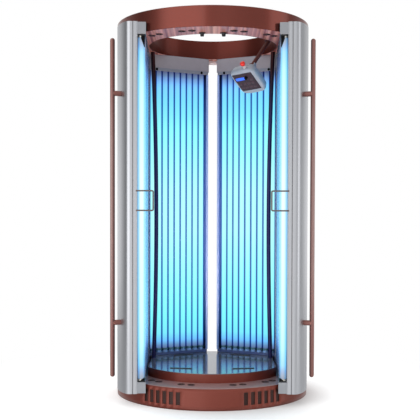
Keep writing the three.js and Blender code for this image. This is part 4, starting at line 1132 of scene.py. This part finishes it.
# %% Rear rails
RAIL_BACK = PANEL_FRONT + 59.7 * MM
UPPER_RAIL_DEPTH = 44 * MM
rear_rails = joined([
    block((PANEL_OUTER, PANEL_FRONT, rear_low), (PANEL_INNER, RAIL_BACK, rail_low)),
    block((PANEL_OUTER, RAIL_BACK - UPPER_RAIL_DEPTH, rail_high), (PANEL_INNER, RAIL_BACK, rear_high)),
])
panel_pair("rear_rails_{}", rear_rails, rail_powder, bevel=EDGE)

# %% [markdown]
# ### Covers, hems and trims
#
# A folded cover hides the upper lampholders. Its lower hem is a doubled strip that two black screws
# hold, and a pale trim strip closes the inner edge of the panel. Strips this plain are bars with
# softened edges; the cover, the casing and the reflector keep the shapes of the frame.

# %% Covers, hems and trims
COVER_FRONT = PANEL_FRONT - 6 * MM
COVER_HEIGHT = 106 * MM
HEM_FRONT = COVER_FRONT - 1.5 * MM
HEM_HEIGHT = 20 * MM
STRIP_EDGE = 0.5 * MM
COVER_SCREW_RADIUS = 9 * MM
COVER_SCREW_IN = 50 * MM
TRIM_IN, TRIM_OUT, TRIM_PROUD, TRIM_DEEP, TRIM_CORNER = 9 * MM, 5 * MM, 2 * MM, 8 * MM, 3 * MM


def dome_screw(radius):
    """A button-head screw that stands on the plane y = 0 and faces -y."""
    dome = [(1.0, 0), (1.0, 1.2), (0.82, 2.6), (0.5, 3.2)]
    return moved(turned([(radius * part, rise * MM) for part, rise in dome], 20), spun(90, "X"))


cover_low = RING_LOW - COVER_HEIGHT
hem_high = cover_low + HEM_HEIGHT
hem = block((PANEL_OUTER, HEM_FRONT, cover_low), (PANEL_INNER, COVER_FRONT + MM, hem_high))
cover_screw = moved(dome_screw(COVER_SCREW_RADIUS), at(0, HEM_FRONT, (cover_low + hem_high) / 2))
cover_screws = row_of(cover_screw, [(PANEL_OUTER + COVER_SCREW_IN, 0), (PANEL_INNER - COVER_SCREW_IN, 0)])
trim_outline = rounded_rectangle(PANEL_INNER - TRIM_IN, PANEL_INNER + TRIM_OUT,
                                 PANEL_FRONT - TRIM_PROUD, PANEL_FRONT + TRIM_DEEP, TRIM_CORNER)
trim = prism(trim_outline, rail_low + SEAT_GAP, cover_low - SEAT_GAP)
panel_pair("cover_hem_{}", hem, hem_powder, bevel=STRIP_EDGE)
panel_pair("cover_screws_{}", cover_screws, black_rubber)
panel_pair("panel_edge_trim_{}", trim, trim_powder, bevel=STRIP_EDGE)
dress("rear_cover_{}", grey_powder, EDGE)
dress("rear_casing_{}", light_grey_powder, EDGE)
dress("rear_reflector_{}", lamp_reflector)
dress("ballast_tray_{}", satin_steel)

# %% [markdown]
# ### Back of the casings
#
# Ballasts run warm, so the backs of such casings are louvred. Each louvre is pressed out of the sheet:
# here it is a small wedge with a rounded top, repeated in two blocks, and screws hold the panel.

# %% Louvres and screws
CASING_BACK = PANEL_FRONT + 140 * MM
LOUVRE_LENGTH = 240 * MM
LOUVRE_PITCH = 26 * MM
LOUVRE_SECTION = [(0, 0), (6, 0), (5.1, 4.55), (2.7, 9.75), (0, 13)]
LOUVRE_ENDS = [(-0.5, 0.15), (-0.47, 1.0), (0.47, 1.0), (0.5, 0.15)]
LOUVRE_BLOCKS = (420 * MM, 1640 * MM)
LOUVRES_A_BLOCK = 9
BACK_SCREW_RADIUS = 5 * MM
BACK_SCREW_IN = 16 * MM
BACK_SCREW_LEVELS = (200, 690, 1180, 1670, 2130)


def louvre():
    """Each end is a part of the length and how much of the depth is left there."""
    section = in_mm(LOUVRE_SECTION)
    return loft([[(LOUVRE_LENGTH * along, depth * full, height) for depth, height in section]
                 for along, full in LOUVRE_ENDS])


louvre_levels = [start + i * LOUVRE_PITCH for start in LOUVRE_BLOCKS for i in range(LOUVRES_A_BLOCK)]
louvres = joined([moved(louvre(), at(PANEL_MIDDLE, CASING_BACK, z)) for z in louvre_levels])
back_screw = moved(dome_screw(BACK_SCREW_RADIUS), spun(180))
back_screws = joined([
    moved(back_screw, at(x, CASING_BACK, level * MM))
    for x in (PANEL_OUTER + BACK_SCREW_IN, PANEL_INNER - BACK_SCREW_IN) for level in BACK_SCREW_LEVELS])
panel_pair("casing_louvres_{}", louvres, light_grey_powder)
panel_pair("casing_screws_{}", back_screws, satin_steel)

# %% [markdown]
# ### Tie between the panels
#
# A pale bar under the ring ties the two panels together. A raised rib stiffens it.

# %% Tie between the panels
TIE_HALF = 64 * MM
TIE_FRONT = 470 * MM
TIE_DEPTH = 14 * MM
TIE_HEIGHT = 26 * MM
RIB_PROUD = 3 * MM
RIB_FROM, RIB_TO = RING_LOW - 14 * MM, RING_LOW - 9 * MM
tie = block((-TIE_HALF, TIE_FRONT, RING_LOW - TIE_HEIGHT),
            (TIE_HALF, TIE_FRONT + TIE_DEPTH, RING_LOW - SEAT_GAP))
tie_rib = block((-TIE_HALF, TIE_FRONT - RIB_PROUD, RIB_FROM), (TIE_HALF, TIE_FRONT + MM, RIB_TO))
# Its near-white powder is painted light.
piece("panel_tie", joined([tie, tie_rib]), brightened_grey_powder, bevel=EDGE)

# %% [markdown]
# ## Doors
#
# A door is a shallow tray of lamps behind clear acrylic, with an extruded post in front. It is drawn
# in its own plan, with the hinge axis at the origin, x towards the user and y to the back, and then
# turned by its small toe-in.

# %% Door plan
DOOR_TOE_DEG = 2.3
DOOR_INNER = 138 * MM
DOOR_OUTER = 37 * MM
TROUGH = 49 * MM
POST_FACE = 66 * MM
BEVEL_RUN = 159 * MM
BLOCK_DEPTH = 21 * MM
LAP_RADIUS = BOOTH_RADIUS + 5 * MM
hinge = Vector(joints["left_door_swing"]["pos_m"])
to_world = at(hinge.x, hinge.y) @ spun(DOOR_TOE_DEG)
axis = to_world.inverted() @ Vector((0, 0, 0))
trough_x = DOOR_INNER - TROUGH
bevel_x = trough_x - POST_FACE


def band_at(x):
    """Where the post's rear face, which laps the drum and the ring, lies at x."""
    return axis.y - math.sqrt(LAP_RADIUS ** 2 - (x - axis.x) ** 2)


def door_pair(name, shape, material, replaced="", bevel=0.0):
    pair(name, moved(shape, to_world), material, replaced, "{}_door", bevel)


door_front = band_at(DOOR_INNER) - BLOCK_DEPTH
bevel_y = door_front + BEVEL_RUN
print("door front", door_front, "hinge", tuple(hinge))

# %% [markdown]
# ### Posts
#
# The extrusion's outer face is a long soft curve, so the studio's zones stretch over it as bands of
# grey and white. Its front face has two narrow grooves where trim and lamp trough meet, and a grey
# rubber seam lies in the wider one. The outline is drawn once in plan and extruded as a plate.

# %% Posts
# A groove has a place, a width and a depth.
POST_GROOVES = [(62.5 * MM, 5 * MM, 3 * MM), (84 * MM, 3 * MM, 2 * MM)]
POST_EDGE = 0.8 * MM
CORNER_FROM = 48 * MM
CORNER_RADIUS = 34 * MM
CORNER_DEG = 42
CURVE_LEAD = 42 * MM
CURVE_END = (14 * MM, 62 * MM)
POST_STEPS = 24


def bezier(p0, p1, p2, p3, steps):
    points = []
    for i in range(steps + 1):
        t = i / steps
        weights = ((1 - t) ** 3, 3 * t * (1 - t) ** 2, 3 * t * t * (1 - t), t ** 3)
        points.append(tuple(sum(w * p[k] for w, p in zip(weights, (p0, p1, p2, p3))) for k in (0, 1)))
    return points


def post_outline():
    outline = [(trough_x, door_front)]
    for x, width, depth in reversed(POST_GROOVES):
        near, far, floor_y = x + width / 2, x - width / 2, door_front + depth
        outline += [(near, door_front), (near, floor_y), (far, floor_y), (far, door_front)]
    centre = (CORNER_FROM, door_front + CORNER_RADIUS)
    outline += arc(CORNER_RADIUS, 270, 270 - CORNER_DEG, 10, centre)
    x, y = outline[-1]
    turn = math.radians(CORNER_DEG)
    lead = (x - CURVE_LEAD * math.cos(turn), y + CURVE_LEAD * math.sin(turn))
    ease = (-DOOR_OUTER + CURVE_END[0], bevel_y - CURVE_END[1])
    outline += bezier((x, y), lead, ease, (-DOOR_OUTER, bevel_y), POST_STEPS)[1:]
    start = axis.x - math.sqrt(LAP_RADIUS ** 2 - (bevel_y - axis.y) ** 2)
    back = [start + (trough_x - start) * i / POST_STEPS for i in range(POST_STEPS + 1)]
    return outline + [(x, band_at(x)) for x in back]


post_low, post_high = levels("door_post_left")
post = plate(post_outline(), post_low, post_high)
seam_x, seam_width, seam_depth = POST_GROOVES[0]
seam_half = seam_width / 2 - SEAT_GAP
seam = block((seam_x - seam_half, door_front + MM, post_low + MM),
             (seam_x + seam_half, door_front + seam_depth - SEAT_GAP, post_high - MM))
door_pair("post_{}", post, post_aluminium, "door_post_{}", POST_EDGE)
door_pair("post_seam_{}", seam, seam_rubber)
dress("door_shell_{}", anodised_aluminium, EDGE)
dress("door_reflector_{}", lamp_reflector)
dress("door_shield_{}", acrylic)
dress("door_foot_block_{}", light_grey_powder, EDGE)
# The head blocks wear the darker copy, as painted shade.
dress("door_head_block_{}", shaded_block_powder, EDGE)
dress("foot_hinge_pin_{}", satin_steel)
dress("head_hinge_pin_{}", satin_steel)

# %% [markdown]
# ### Door lamps
#
# Fifteen tubes stand in each door. The one next to the post is seen from the front and glows almost
# to its ends; the next four are paler on their flanks than the rest. So there are three glasses for
# each side, and each leans its bright side towards the user by a little.

# %% Door lamps
DOOR_PITCH = 42.5 * MM
DOOR_LAMPS = 15
FRONT_LAMPS = 5
FIRST_LAMP = 31 * MM
DOOR_RAIL = 8 * MM
DOOR_SOCKET_MM = 8
DOOR_CAP_MM = 7
SHIELD = 4 * MM
DOOR_GLOW = [
    (0, "9BA1B2"), (23, "A6B1C5"), (47, "A5BFE2"), (82, "ADE6FF"), (190, "C5FCFF"), (340, "D8FFFF"),
    (GLOW_RUN, "EDFFFF"),
]
INNER_GLOW = [
    (0, "5A5C70"), (45, "817989"), (100, "8195A8"), (150, "B4D1EE"), (205, "BCF6FF"), (340, "C4FFFF"),
    (GLOW_RUN, "D0FFFF"),
]
DOOR_FLANKS = [(-0.2, "6090C8"), (0.3, "7CACE4"), (0.6, "9CC4EE"), (0.8, "C2DEF6"), (0.95, "FFFFFF")]
FRONT_FLANKS = [(-0.2, "90BEEC"), (0.3, "A8D6FC"), (0.6, "C0EAFF"), (0.8, "DCF6FF"), (0.95, "FFFFFF")]
door_low, door_high = levels("door_lamp_bank_left")
foot_rail, head_rail = door_low + DOOR_RAIL, door_high - DOOR_RAIL
tube_low, tube_high = foot_rail + DOOR_SOCKET_MM * MM, head_rail - DOOR_SOCKET_MM * MM
shield_x = DOOR_INNER - SHIELD - SEAT_GAP
lamp_x = (trough_x + shield_x) / 2
door_row = [(lamp_x, door_front + FIRST_LAMP + i * DOOR_PITCH) for i in range(DOOR_LAMPS)]
# A group of lamps has its name, its glass, its run of the row, its glow, its flanks, its lean and
# the node that it replaces.
DOOR_GROUPS = [
    ("first_door_lamp_{}", "first_lamp_glass", door_row[:1], DOOR_GLOW, FRONT_FLANKS, 0.2, ""),
    ("front_door_lamps_{}", "front_lamp_glass", door_row[1:FRONT_LAMPS], INNER_GLOW, FRONT_FLANKS, 0.2, ""),
    ("door_lamps_{}", "door_lamp_glass", door_row[FRONT_LAMPS:], INNER_GLOW, DOOR_FLANKS, -0.1,
     "door_lamp_bank_{}"),
]
for name, glass_name, places, glow, flanks, lean, replaced in DOOR_GROUPS:
    ahead = -math.sqrt(1 - lean * lean)
    glass = {
        side: lamp_glass(f"{glass_name}_{side}", (sign * lean, ahead, 0), tube_low, tube_high, glow, flanks)
        for side, sign in zip(SIDES, (1, -1))
    }
    door_pair(name, row_of(lamp_tube(tube_low, tube_high), places), glass, replaced)
door_caps = row_of(lamp_caps(tube_low, tube_high, DOOR_CAP_MM), door_row)
door_holders = row_of(lampholders(foot_rail, head_rail, DOOR_SOCKET_MM), door_row)
door_pair("door_lamp_caps_{}", door_caps, cap_aluminium)
door_pair("door_lampholders_{}", door_holders, white_plastic)

# %% [markdown]
# ### Rails and painted shade strips of a door
#
# Black rails carry the lampholders. Black wedges beside the inner side of the first lamp's ends are painted
# shade there, and blue-black strips inside the tray's rear end and outside it are painted shade in the gap
# to the panel. All of these are short extrusions.

# %% Rails and painted shade strips
RAIL_PAST = 26 * MM
END_SHADE_FOOT, END_SHADE_HEAD = 16 * MM, -64 * MM
END_SHADE_IN, END_SHADE_BACK, END_SHADE_TIP = 2 * MM, 4 * MM, 3 * MM
OUTER_STRIP_REACH = 4 * MM
INNER_STRIP_WIDTH = 10 * MM
INNER_STRIP_DEPTH = 4 * MM
OUTER_STRIP_FROM, OUTER_STRIP_TO = -3 * MM, 5 * MM


def end_shade_wedge(rail, reach):
    """A black wedge of painted shade beside the first lamp's end; reach points along the lamp."""
    near, far = lamp_x - END_SHADE_IN, lamp_x + LAMP_RADIUS
    tip = rail + reach
    corners = [(near, rail), (far, rail), (far, tip), (far - END_SHADE_TIP, tip), (near, rail + reach / 4)]
    sides = (door_row[0][1] - LAMP_RADIUS - MM, door_row[0][1] + END_SHADE_BACK)
    return loft([[(x, y, z) for x, z in corners] for y in sides])


# Painted shade: blue-black strips inside and outside the tray's rear end darken the gap to the panel.
def gap_shade_strips():
    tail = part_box("door_shield_left")[1].y - hinge.y - DOOR_INNER * math.sin(math.radians(DOOR_TOE_DEG))
    inner_strip_x = shield_x - SEAT_GAP
    inner_strip = rounded_rectangle(inner_strip_x - INNER_STRIP_WIDTH, inner_strip_x, tail - INNER_STRIP_DEPTH, tail - SEAT_GAP, MM, 3)
    outer_strip_x = DOOR_INNER + SEAT_GAP
    outer_strip = rounded_rectangle(outer_strip_x, DOOR_INNER + OUTER_STRIP_REACH, tail + OUTER_STRIP_FROM, tail + OUTER_STRIP_TO, MM, 3)
    return joined([prism(outline, foot_rail + MM, head_rail - MM) for outline in (inner_strip, outer_strip)])


rail_front = door_front + FIRST_LAMP - LAMP_RADIUS
rail_back = door_row[-1][1] + RAIL_PAST
door_rails = joined([
    block((trough_x + SEAT_GAP, rail_front, low), (shield_x, rail_back, low + DOOR_RAIL))
    for low in (door_low, head_rail)])
end_shade_wedges = joined([end_shade_wedge(foot_rail, END_SHADE_FOOT), end_shade_wedge(head_rail, END_SHADE_HEAD)])
door_pair("gap_shade_strips_{}", gap_shade_strips(), gap_shade_rubber)
# Black wedges at the first lamp's ends are painted shade.
door_pair("lamp_end_shades_{}", end_shade_wedges, black_rubber)
door_pair("door_rails_{}", door_rails, black_plastic, bevel=EDGE)

# %% [markdown]
# ### Outer bars
#
# A long enamelled bar with domed ends stands off each post on two studs. Its colour is darker towards both
# ends, and painted shade darkens the side that faces the post, so its colour goes by the height and by the
# way the surface faces. The bars are left out of reflections, where the posts' long curve would draw them
# out into a dark line.

# %% Outer bars
BAR_RADIUS = 14 * MM
BAR_STANDOFF = 55 * MM
STANDOFF_INSET = 320 * MM
STANDOFF_RADIUS = 15.5 * MM
POST_BULGE = 7 * MM
# Darker towards both ends of the bar, by millimetres from the nearer end.
BAR_DARKER_ENDS = [(0, "DCBAB2"), (280, "E4C2C0"), (600, "FFFFFF")]
SIDE_SHADE_FROM, SIDE_SHADE_END = -0.7, 0.3
bar_low, bar_high = levels("outer_handle_left")


# Painted shade: the side of the bar that faces its post is darker.
def bar_enamel_with_painted_shade(side, outward):
    material, tree, shader = new_finish(
        f"brown_enamel_painted_shade_{side}", "967470", 0.4, 0.4, Coat_Weight=0.4,
        Coat_Roughness=LACQUER_GLOSS, Coat_IOR=LACQUER_IOR)
    facing = cosine_to(tree, (outward, 0, 0))
    side_shade = add(tree, "MapRange", {0: facing, 1: SIDE_SHADE_FROM, 2: SIDE_SHADE_END}).outputs[0]
    side_shade_colours = {0: side_shade, 6: colour("5A3330"), 7: colour("9C7D78")}
    shade_around_bar = add(tree, "Mix", side_shade_colours, data_type="RGBA").outputs[2]
    darker_ends = shades_from_ends(tree, bar_low, bar_high, BAR_DARKER_ENDS)
    both = {0: 1.0, 6: shade_around_bar, 7: darker_ends}
    graded = add(tree, "Mix", both, data_type="RGBA", blend_type="MULTIPLY").outputs[2]
    tree.links.new(graded, shader.inputs["Base Color"])
    ripple(tree, shader)
    return material


along_bevel = Vector((-DOOR_OUTER - bevel_x, BEVEL_RUN)).normalized()
outward = Vector((-along_bevel.y, along_bevel.x))
seat = Vector(((bevel_x - DOOR_OUTER) / 2, (door_front + bevel_y) / 2))
bar_centre = seat + outward * BAR_STANDOFF
stud_foot = seat + outward * POST_BULGE
dome = [(radius, BAR_RADIUS - rise) for radius, rise in reversed(arc(BAR_RADIUS, 0, 80, 8))]
bar_foot, bar_head = both_ends(dome, bar_low, bar_high)
bar = moved(turned(bar_foot + bar_head, 28), at(*bar_centre))
standoffs = joined([
    pipe([(*stud_foot, z), (*bar_centre, z)], STANDOFF_RADIUS, 28)
    for z in (bar_low + STANDOFF_INSET, bar_high - STANDOFF_INSET)])
bar_enamel = {side: bar_enamel_with_painted_shade(side, sign) for side, sign in zip(SIDES, (-1, 1))}
door_pair("outer_bar_{}", bar, bar_enamel, "outer_handle_{}")
door_pair("bar_standoffs_{}", standoffs, rod_enamel)
for side in SIDES:
    bpy.data.objects[f"outer_bar_{side}"].visible_glossy = False

# %% [markdown]
# ### Wire handles
#
# A bent steel wire reaches from each post into the opening. A path of straight runs with rounded
# corners is enough, and a round bar follows it.

# %% Wire handles
WIRE_RADIUS = 4.5 * MM
WIRE_BEND = 9 * MM
WIRE_PROUD = 9 * MM
WIRE_REACH = 92.5 * MM
WIRE_LOW, WIRE_HIGH = 1143 * MM, 1257 * MM
BEND_STEPS = 8
BEND_SHARE = 0.7


def wire_path():
    root, tip = trough_x - WIRE_RADIUS, trough_x + WIRE_REACH
    face, proud = door_front - SEAT_GAP, door_front - WIRE_PROUD
    run = [(root, face), (root, proud), (tip, proud)]
    corners = [Vector((x, y, WIRE_LOW)) for x, y in run]
    corners += [Vector((x, y, WIRE_HIGH)) for x, y in reversed(run)]
    path = [corners[0]]
    for before, corner, after in zip(corners, corners[1:], corners[2:]):
        back, on = before - corner, after - corner
        bend = min(WIRE_BEND, back.length * BEND_SHARE, on.length * BEND_SHARE)
        start, end = corner + back.normalized() * bend, corner + on.normalized() * bend
        for i in range(BEND_STEPS + 1):
            t = i / BEND_STEPS
            path.append(start * (1 - t) ** 2 + corner * 2 * t * (1 - t) + end * t * t)
    return path + [corners[-1]]


wire = pipe(wire_path(), WIRE_RADIUS, 16)
door_pair("wire_handle_{}", wire, wire_steel, "inner_handle_{}")

# %% [markdown]
# ## Poles
#
# A bowed pole on each side ties the platform to the ring. It is one tube along a gentle curve, with a plain
# collar at the foot. It is sprayed in plum pearl enamel, and its colour turns darker and browner towards
# the top, under the ring.

# %% Poles
POLE_RADIUS = 13.5 * MM
POLE_Y = 150 * MM
POLE_FOOT_X = PLATFORM_HALF_WIDTH - 13 * MM
POLE_TOP_X = math.sqrt((RING_INNER + 19 * MM) ** 2 - POLE_Y ** 2)
POLE_BOW = 20 * MM
POLE_STEPS = 40
POLE_COLLAR = [(17, 0), (17, 4), (13, 7)]
# Colours by millimetres down from the pole's top: darker and browner near the ring.
POLE_TOP_TONES = [(0, "4A282B"), (100, "3A2224"), (225, "3C3240"), (450, "37335C")]
pole_low, pole_high = levels("pole_left")


def plum_enamel():
    material, tree, shader = new_finish("black_plum_pearl_enamel", "37335C", 0.35, 0.9)
    height = place_along(tree, "Z")
    from_top = add(tree, "Math", {0: pole_high, 1: height}, operation="SUBTRACT").outputs[0]
    top_tones = shades_over(tree, from_top, POLE_TOP_TONES)
    flakes = {0: blotches(tree, FLAKE_MM, detail=4.0), 6: colour("E4E4E4"), 7: colour("FFFFFF")}
    flecks = add(tree, "Mix", flakes, data_type="RGBA").outputs[2]
    both = {0: 1.0, 6: top_tones, 7: flecks}
    flecked = add(tree, "Mix", both, data_type="RGBA", blend_type="MULTIPLY")
    tree.links.new(flecked.outputs[2], shader.inputs["Base Color"])
    ripple(tree, shader)
    return material


def pole():
    path = []
    for i in range(POLE_STEPS + 1):
        t = i / POLE_STEPS
        x = POLE_FOOT_X + (POLE_TOP_X - POLE_FOOT_X) * t - POLE_BOW * 4 * t * (1 - t)
        path.append((-x, POLE_Y, pole_low + (pole_high - pole_low) * t))
    collar = moved(turned(in_mm(POLE_COLLAR), 28), at(-POLE_FOOT_X, POLE_Y, pole_low))
    return joined([pipe(path, POLE_RADIUS, 24), collar])


pair("bowed_pole_{}", pole(), plum_enamel(), "pole_{}")

# %% [markdown]
# ## Control console
#
# The console hangs from the ring on an arm and leans towards the user. Its housing is two moulded
# shells: a stack of rounded rectangles gives them their soft edges. The frame's joints give the
# console's own axes, so everything on it is drawn flat, with z out of its face.

# %% Console axes
tilt, turn_knob = joints["console_tilt"], joints["knob_turn"]
KNOB_X, KNOB_Y = 22 * MM, 37 * MM
x_axis = Vector(tilt["axis"]).normalized()
z_axis = Vector(turn_knob["axis"]).normalized()
y_axis = z_axis.cross(x_axis)
on_console = Matrix((x_axis, y_axis, z_axis)).transposed().to_4x4()
on_console.translation = Vector(turn_knob["pos_m"]) - x_axis * KNOB_X - y_axis * KNOB_Y
print("console at", tuple(on_console.translation))


def console_piece(name, shape, material, replaced="", bevel=0.0):
    piece(name, moved(shape, on_console), material, replaced, "console", bevel)


# %% Housing outlines
LEFT, RIGHT, TOP, BOTTOM = 82 * MM, 101 * MM, 99 * MM, 105 * MM
CORNER = 30 * MM
TIGHT_CORNER = 6 * MM
LONG_SIDE = 20 * MM
SIDE_CUTS = 8
BOW = 0.09


def housing_outline(shrink):
    """A rounded rectangle whose four sides bow out, as those of a moulded housing do."""
    corner = max(CORNER - shrink, TIGHT_CORNER)
    plain = rounded_rectangle(-LEFT + shrink, RIGHT - shrink, -BOTTOM + shrink, TOP - shrink, corner, 8)
    middle_x, middle_y = (RIGHT - LEFT) / 2, (TOP - BOTTOM) / 2
    bowed = []
    for (x, y), (next_x, next_y) in zip(plain, plain[1:] + plain[:1]):
        cuts = SIDE_CUTS if math.hypot(next_x - x, next_y - y) > LONG_SIDE else 1
        for i in range(cuts):
            from_x = x + (next_x - x) * i / cuts - middle_x
            from_y = y + (next_y - y) * i / cuts - middle_y
            narrow = 1 - BOW * (2 * from_y / (TOP + BOTTOM)) ** 2
            low = 1 - BOW * (2 * from_x / (LEFT + RIGHT)) ** 2
            bowed.append((middle_x + from_x * narrow, middle_y + from_y * low))
    return bowed


def rounded_stack(start, end, shrink_start, shrink_end, steps):
    """Outlines that follow a quarter circle from one depth and inset to another."""
    outlines = []
    for i in range(steps + 1):
        a = math.pi / 2 * i / steps
        shrink = shrink_start + (shrink_end - shrink_start) * (1 - math.cos(a))
        outlines.append((housing_outline(shrink), start + (end - start) * math.sin(a)))
    return outlines


# %% Housing
FRONT_DEPTH, BACK_DEPTH = 34 * MM, 28 * MM
EDGE_ROUND, BACK_ROUND = 20 * MM, 36 * MM
TAPER = 5 * MM
EYE_X, EYE_Y = 50 * MM, 54 * MM
EAR_X, EAR_HALF, EAR_HEIGHT = 19.3 * MM, 3 * MM, 11 * MM
back_z = -FRONT_DEPTH - BACK_DEPTH
ear_low, ear_high = back_z - 21.5 * MM, -FRONT_DEPTH - 8 * MM
rim = rounded_stack(-EDGE_ROUND, 0, 0, EDGE_ROUND * 0.6, 6)
front_shell = stacked([(housing_outline(TAPER), -FRONT_DEPTH), *rim])
back_shell = stacked(rounded_stack(-FRONT_DEPTH - SEAT_GAP, back_z, TAPER, BACK_ROUND, 10))
ears = [
    block((x - EAR_HALF, EYE_Y - EAR_HEIGHT, ear_low), (x + EAR_HALF, EYE_Y + EAR_HEIGHT, ear_high))
    for x in (EYE_X - EAR_X, EYE_X + EAR_X)]
rear_shell = joined([back_shell, *ears])
console_piece("console_housing", front_shell, console_plastic, "console_front")
console_piece("console_rear_shell", rear_shell, console_plastic, "console_back")

# %% [markdown]
# ### Keypad and display
#
# A printed film lies on the housing's face, with raised fields for the keys and a window for the
# display. The film is a plate with a hole, so the display can sit a little deeper in it.

# %% Keypad and display
FILM_HALF_WIDTH, FILM_HALF_HEIGHT = 73 * MM, 69 * MM
FILM_MARGIN = 8 * MM
FILM_CORNER = 4 * MM
FILM_TOP = 1.9 * MM
FILM_EDGE = 0.4 * MM
DISPLAY_LEFT, DISPLAY_RIGHT, DISPLAY_LOW, DISPLAY_HIGH = -57 * MM, 7 * MM, 18 * MM, 40 * MM
DISPLAY_CORNER = 2 * MM
WINDOW_LOW, WINDOW_HIGH = 0.1 * MM, FILM_TOP - 0.7 * MM
KEY_HALF_WIDTH, KEY_HALF_HEIGHT = 11 * MM, 8 * MM
KEY_CORNER = 3 * MM
# A step of a key has an inset and a level above the film.
KEY_STEPS = in_mm([(0, -1), (0, 0.4), (0.8, 0.8)])
key_places = in_mm([(x, y) for y in (-44, -14) for x in (-47, -17, 13, 43)] + [(48, 14)])


def key():
    steps = []
    for inset, rise in KEY_STEPS:
        half_width, half_height = KEY_HALF_WIDTH - inset, KEY_HALF_HEIGHT - inset
        outline = rounded_rectangle(-half_width, half_width, -half_height, half_height, KEY_CORNER)
        steps.append((outline, FILM_TOP + rise))
    return stacked(steps)


film_outline = rounded_rectangle(
    FILM_MARGIN - FILM_HALF_WIDTH, FILM_HALF_WIDTH, -FILM_HALF_HEIGHT, FILM_HALF_HEIGHT, FILM_CORNER)
display_hole = rounded_rectangle(DISPLAY_LEFT, DISPLAY_RIGHT, DISPLAY_LOW, DISPLAY_HIGH, DISPLAY_CORNER)
film = plate(film_outline, SEAT_GAP, FILM_TOP, [display_hole])
window = plate(display_hole, WINDOW_LOW, WINDOW_HIGH)
console_piece("key_film", film, key_film, "keypad_panel", FILM_EDGE)
console_piece("key_fields", row_of(key(), key_places), key_caps)
console_piece("display", window, display_glass, "display_window")

# %% [markdown]
# ### Knob and stop button
#
# The knob has fluted sides, which a cosine around each ring of its loft gives, and a raised pointer.
# The red mushroom button and its collar stand on the console's upper side; both are turned. Their
# steps are a radius and a level in millimetres.

# %% Knob
KNOB_STEPS = [(9.6, 2.2), (9.6, 4), (9, 4.6), (8.6, 14), (7.6, 16), (4, 16.4)]
KNOB_FLUTES = 18
FLUTE_DEPTH = 0.35 * MM
FLUTES_FROM, FLUTES_TO = 4.5, 15
POINTER = [(-0.8, 2, 16), (0.8, 8, 16.8)]


def knob():
    rings = []
    for radius, level in KNOB_STEPS:
        depth = FLUTE_DEPTH if FLUTES_FROM < level < FLUTES_TO else 0
        ring = []
        for i in range(KNOB_FLUTES * 4):
            a = 2 * math.pi * i / (KNOB_FLUTES * 4)
            reach = radius * MM + depth * math.cos(KNOB_FLUTES * a)
            ring.append((reach * math.cos(a), reach * math.sin(a), level * MM))
        rings.append(ring)
    return joined([loft(rings), block(*in_mm(POINTER))])


on_face = on_console @ at(KNOB_X, KNOB_Y)
piece("dial_knob", moved(knob(), on_face), black_rubber, "console_knob", "knob")

# %% Stop button
STOP_X, STOP_Z = 44 * MM, -17 * MM
COLLAR = [(8.3, 0), (13, 0), (13, 3), (11, 4.5), (10.4, 15), (9.6, 16), (8.3, 16)]
HEAD = [(8, 7), (8, 24), (14, 24), (15.6, 26), (16, 30), (15.4, 35), (13.4, 39), (9.5, 41.4), (5, 42)]
on_top = on_console @ at(STOP_X, TOP + SEAT_GAP, STOP_Z) @ spun(-90, "X")
stop_collar = moved(hooped(in_mm(COLLAR), 32), on_top)
mushroom = moved(turned(in_mm(HEAD)), on_top)
piece("stop_button_collar", stop_collar, grey_plastic, "stop_collar", "console")
piece("stop_button_head", mushroom, red_plastic, "stop_button", "stop")

# %% [markdown]
# ### Arm and bracket
#
# The arm is one welded piece: a boss and a spigot in the ring's bracket, a straight tube, and an eye
# with a pin between the console's ears. The joints of the frame give both of its ends.

# %% Arm and bracket
ARM_RADIUS = 12 * MM
ARM_DROP = 7 * MM
BOSS = [(12, -14.3), (13, -13), (13, -1.3), (12, -0.3)]
SPIGOT = [(6, -1), (6, 11), (5, 12)]
EYE_HALF, EYE_RADIUS = 16 * MM, 12 * MM
PIN_HALF, PIN_RADIUS = 22 * MM, 4 * MM
swing, pivot = (Vector(joints[name]["pos_m"]) for name in ("console_arm_swing", "console_tilt"))
arm = joined([
    moved(turned(in_mm(BOSS), 28), at(*swing)),
    moved(turned(in_mm(SPIGOT), 24), at(*swing)),
    pipe([pivot - x_axis * EYE_HALF, pivot + x_axis * EYE_HALF], EYE_RADIUS, 28),
    pipe([pivot - x_axis * PIN_HALF, pivot + x_axis * PIN_HALF], PIN_RADIUS, 16),
    pipe([swing - Vector((0, 0, ARM_DROP)), pivot], ARM_RADIUS, 24),
])
piece("console_arm_tube", arm, arm_enamel, "console_arm", "arm")
dress("console_bracket", arm_enamel, EDGE)
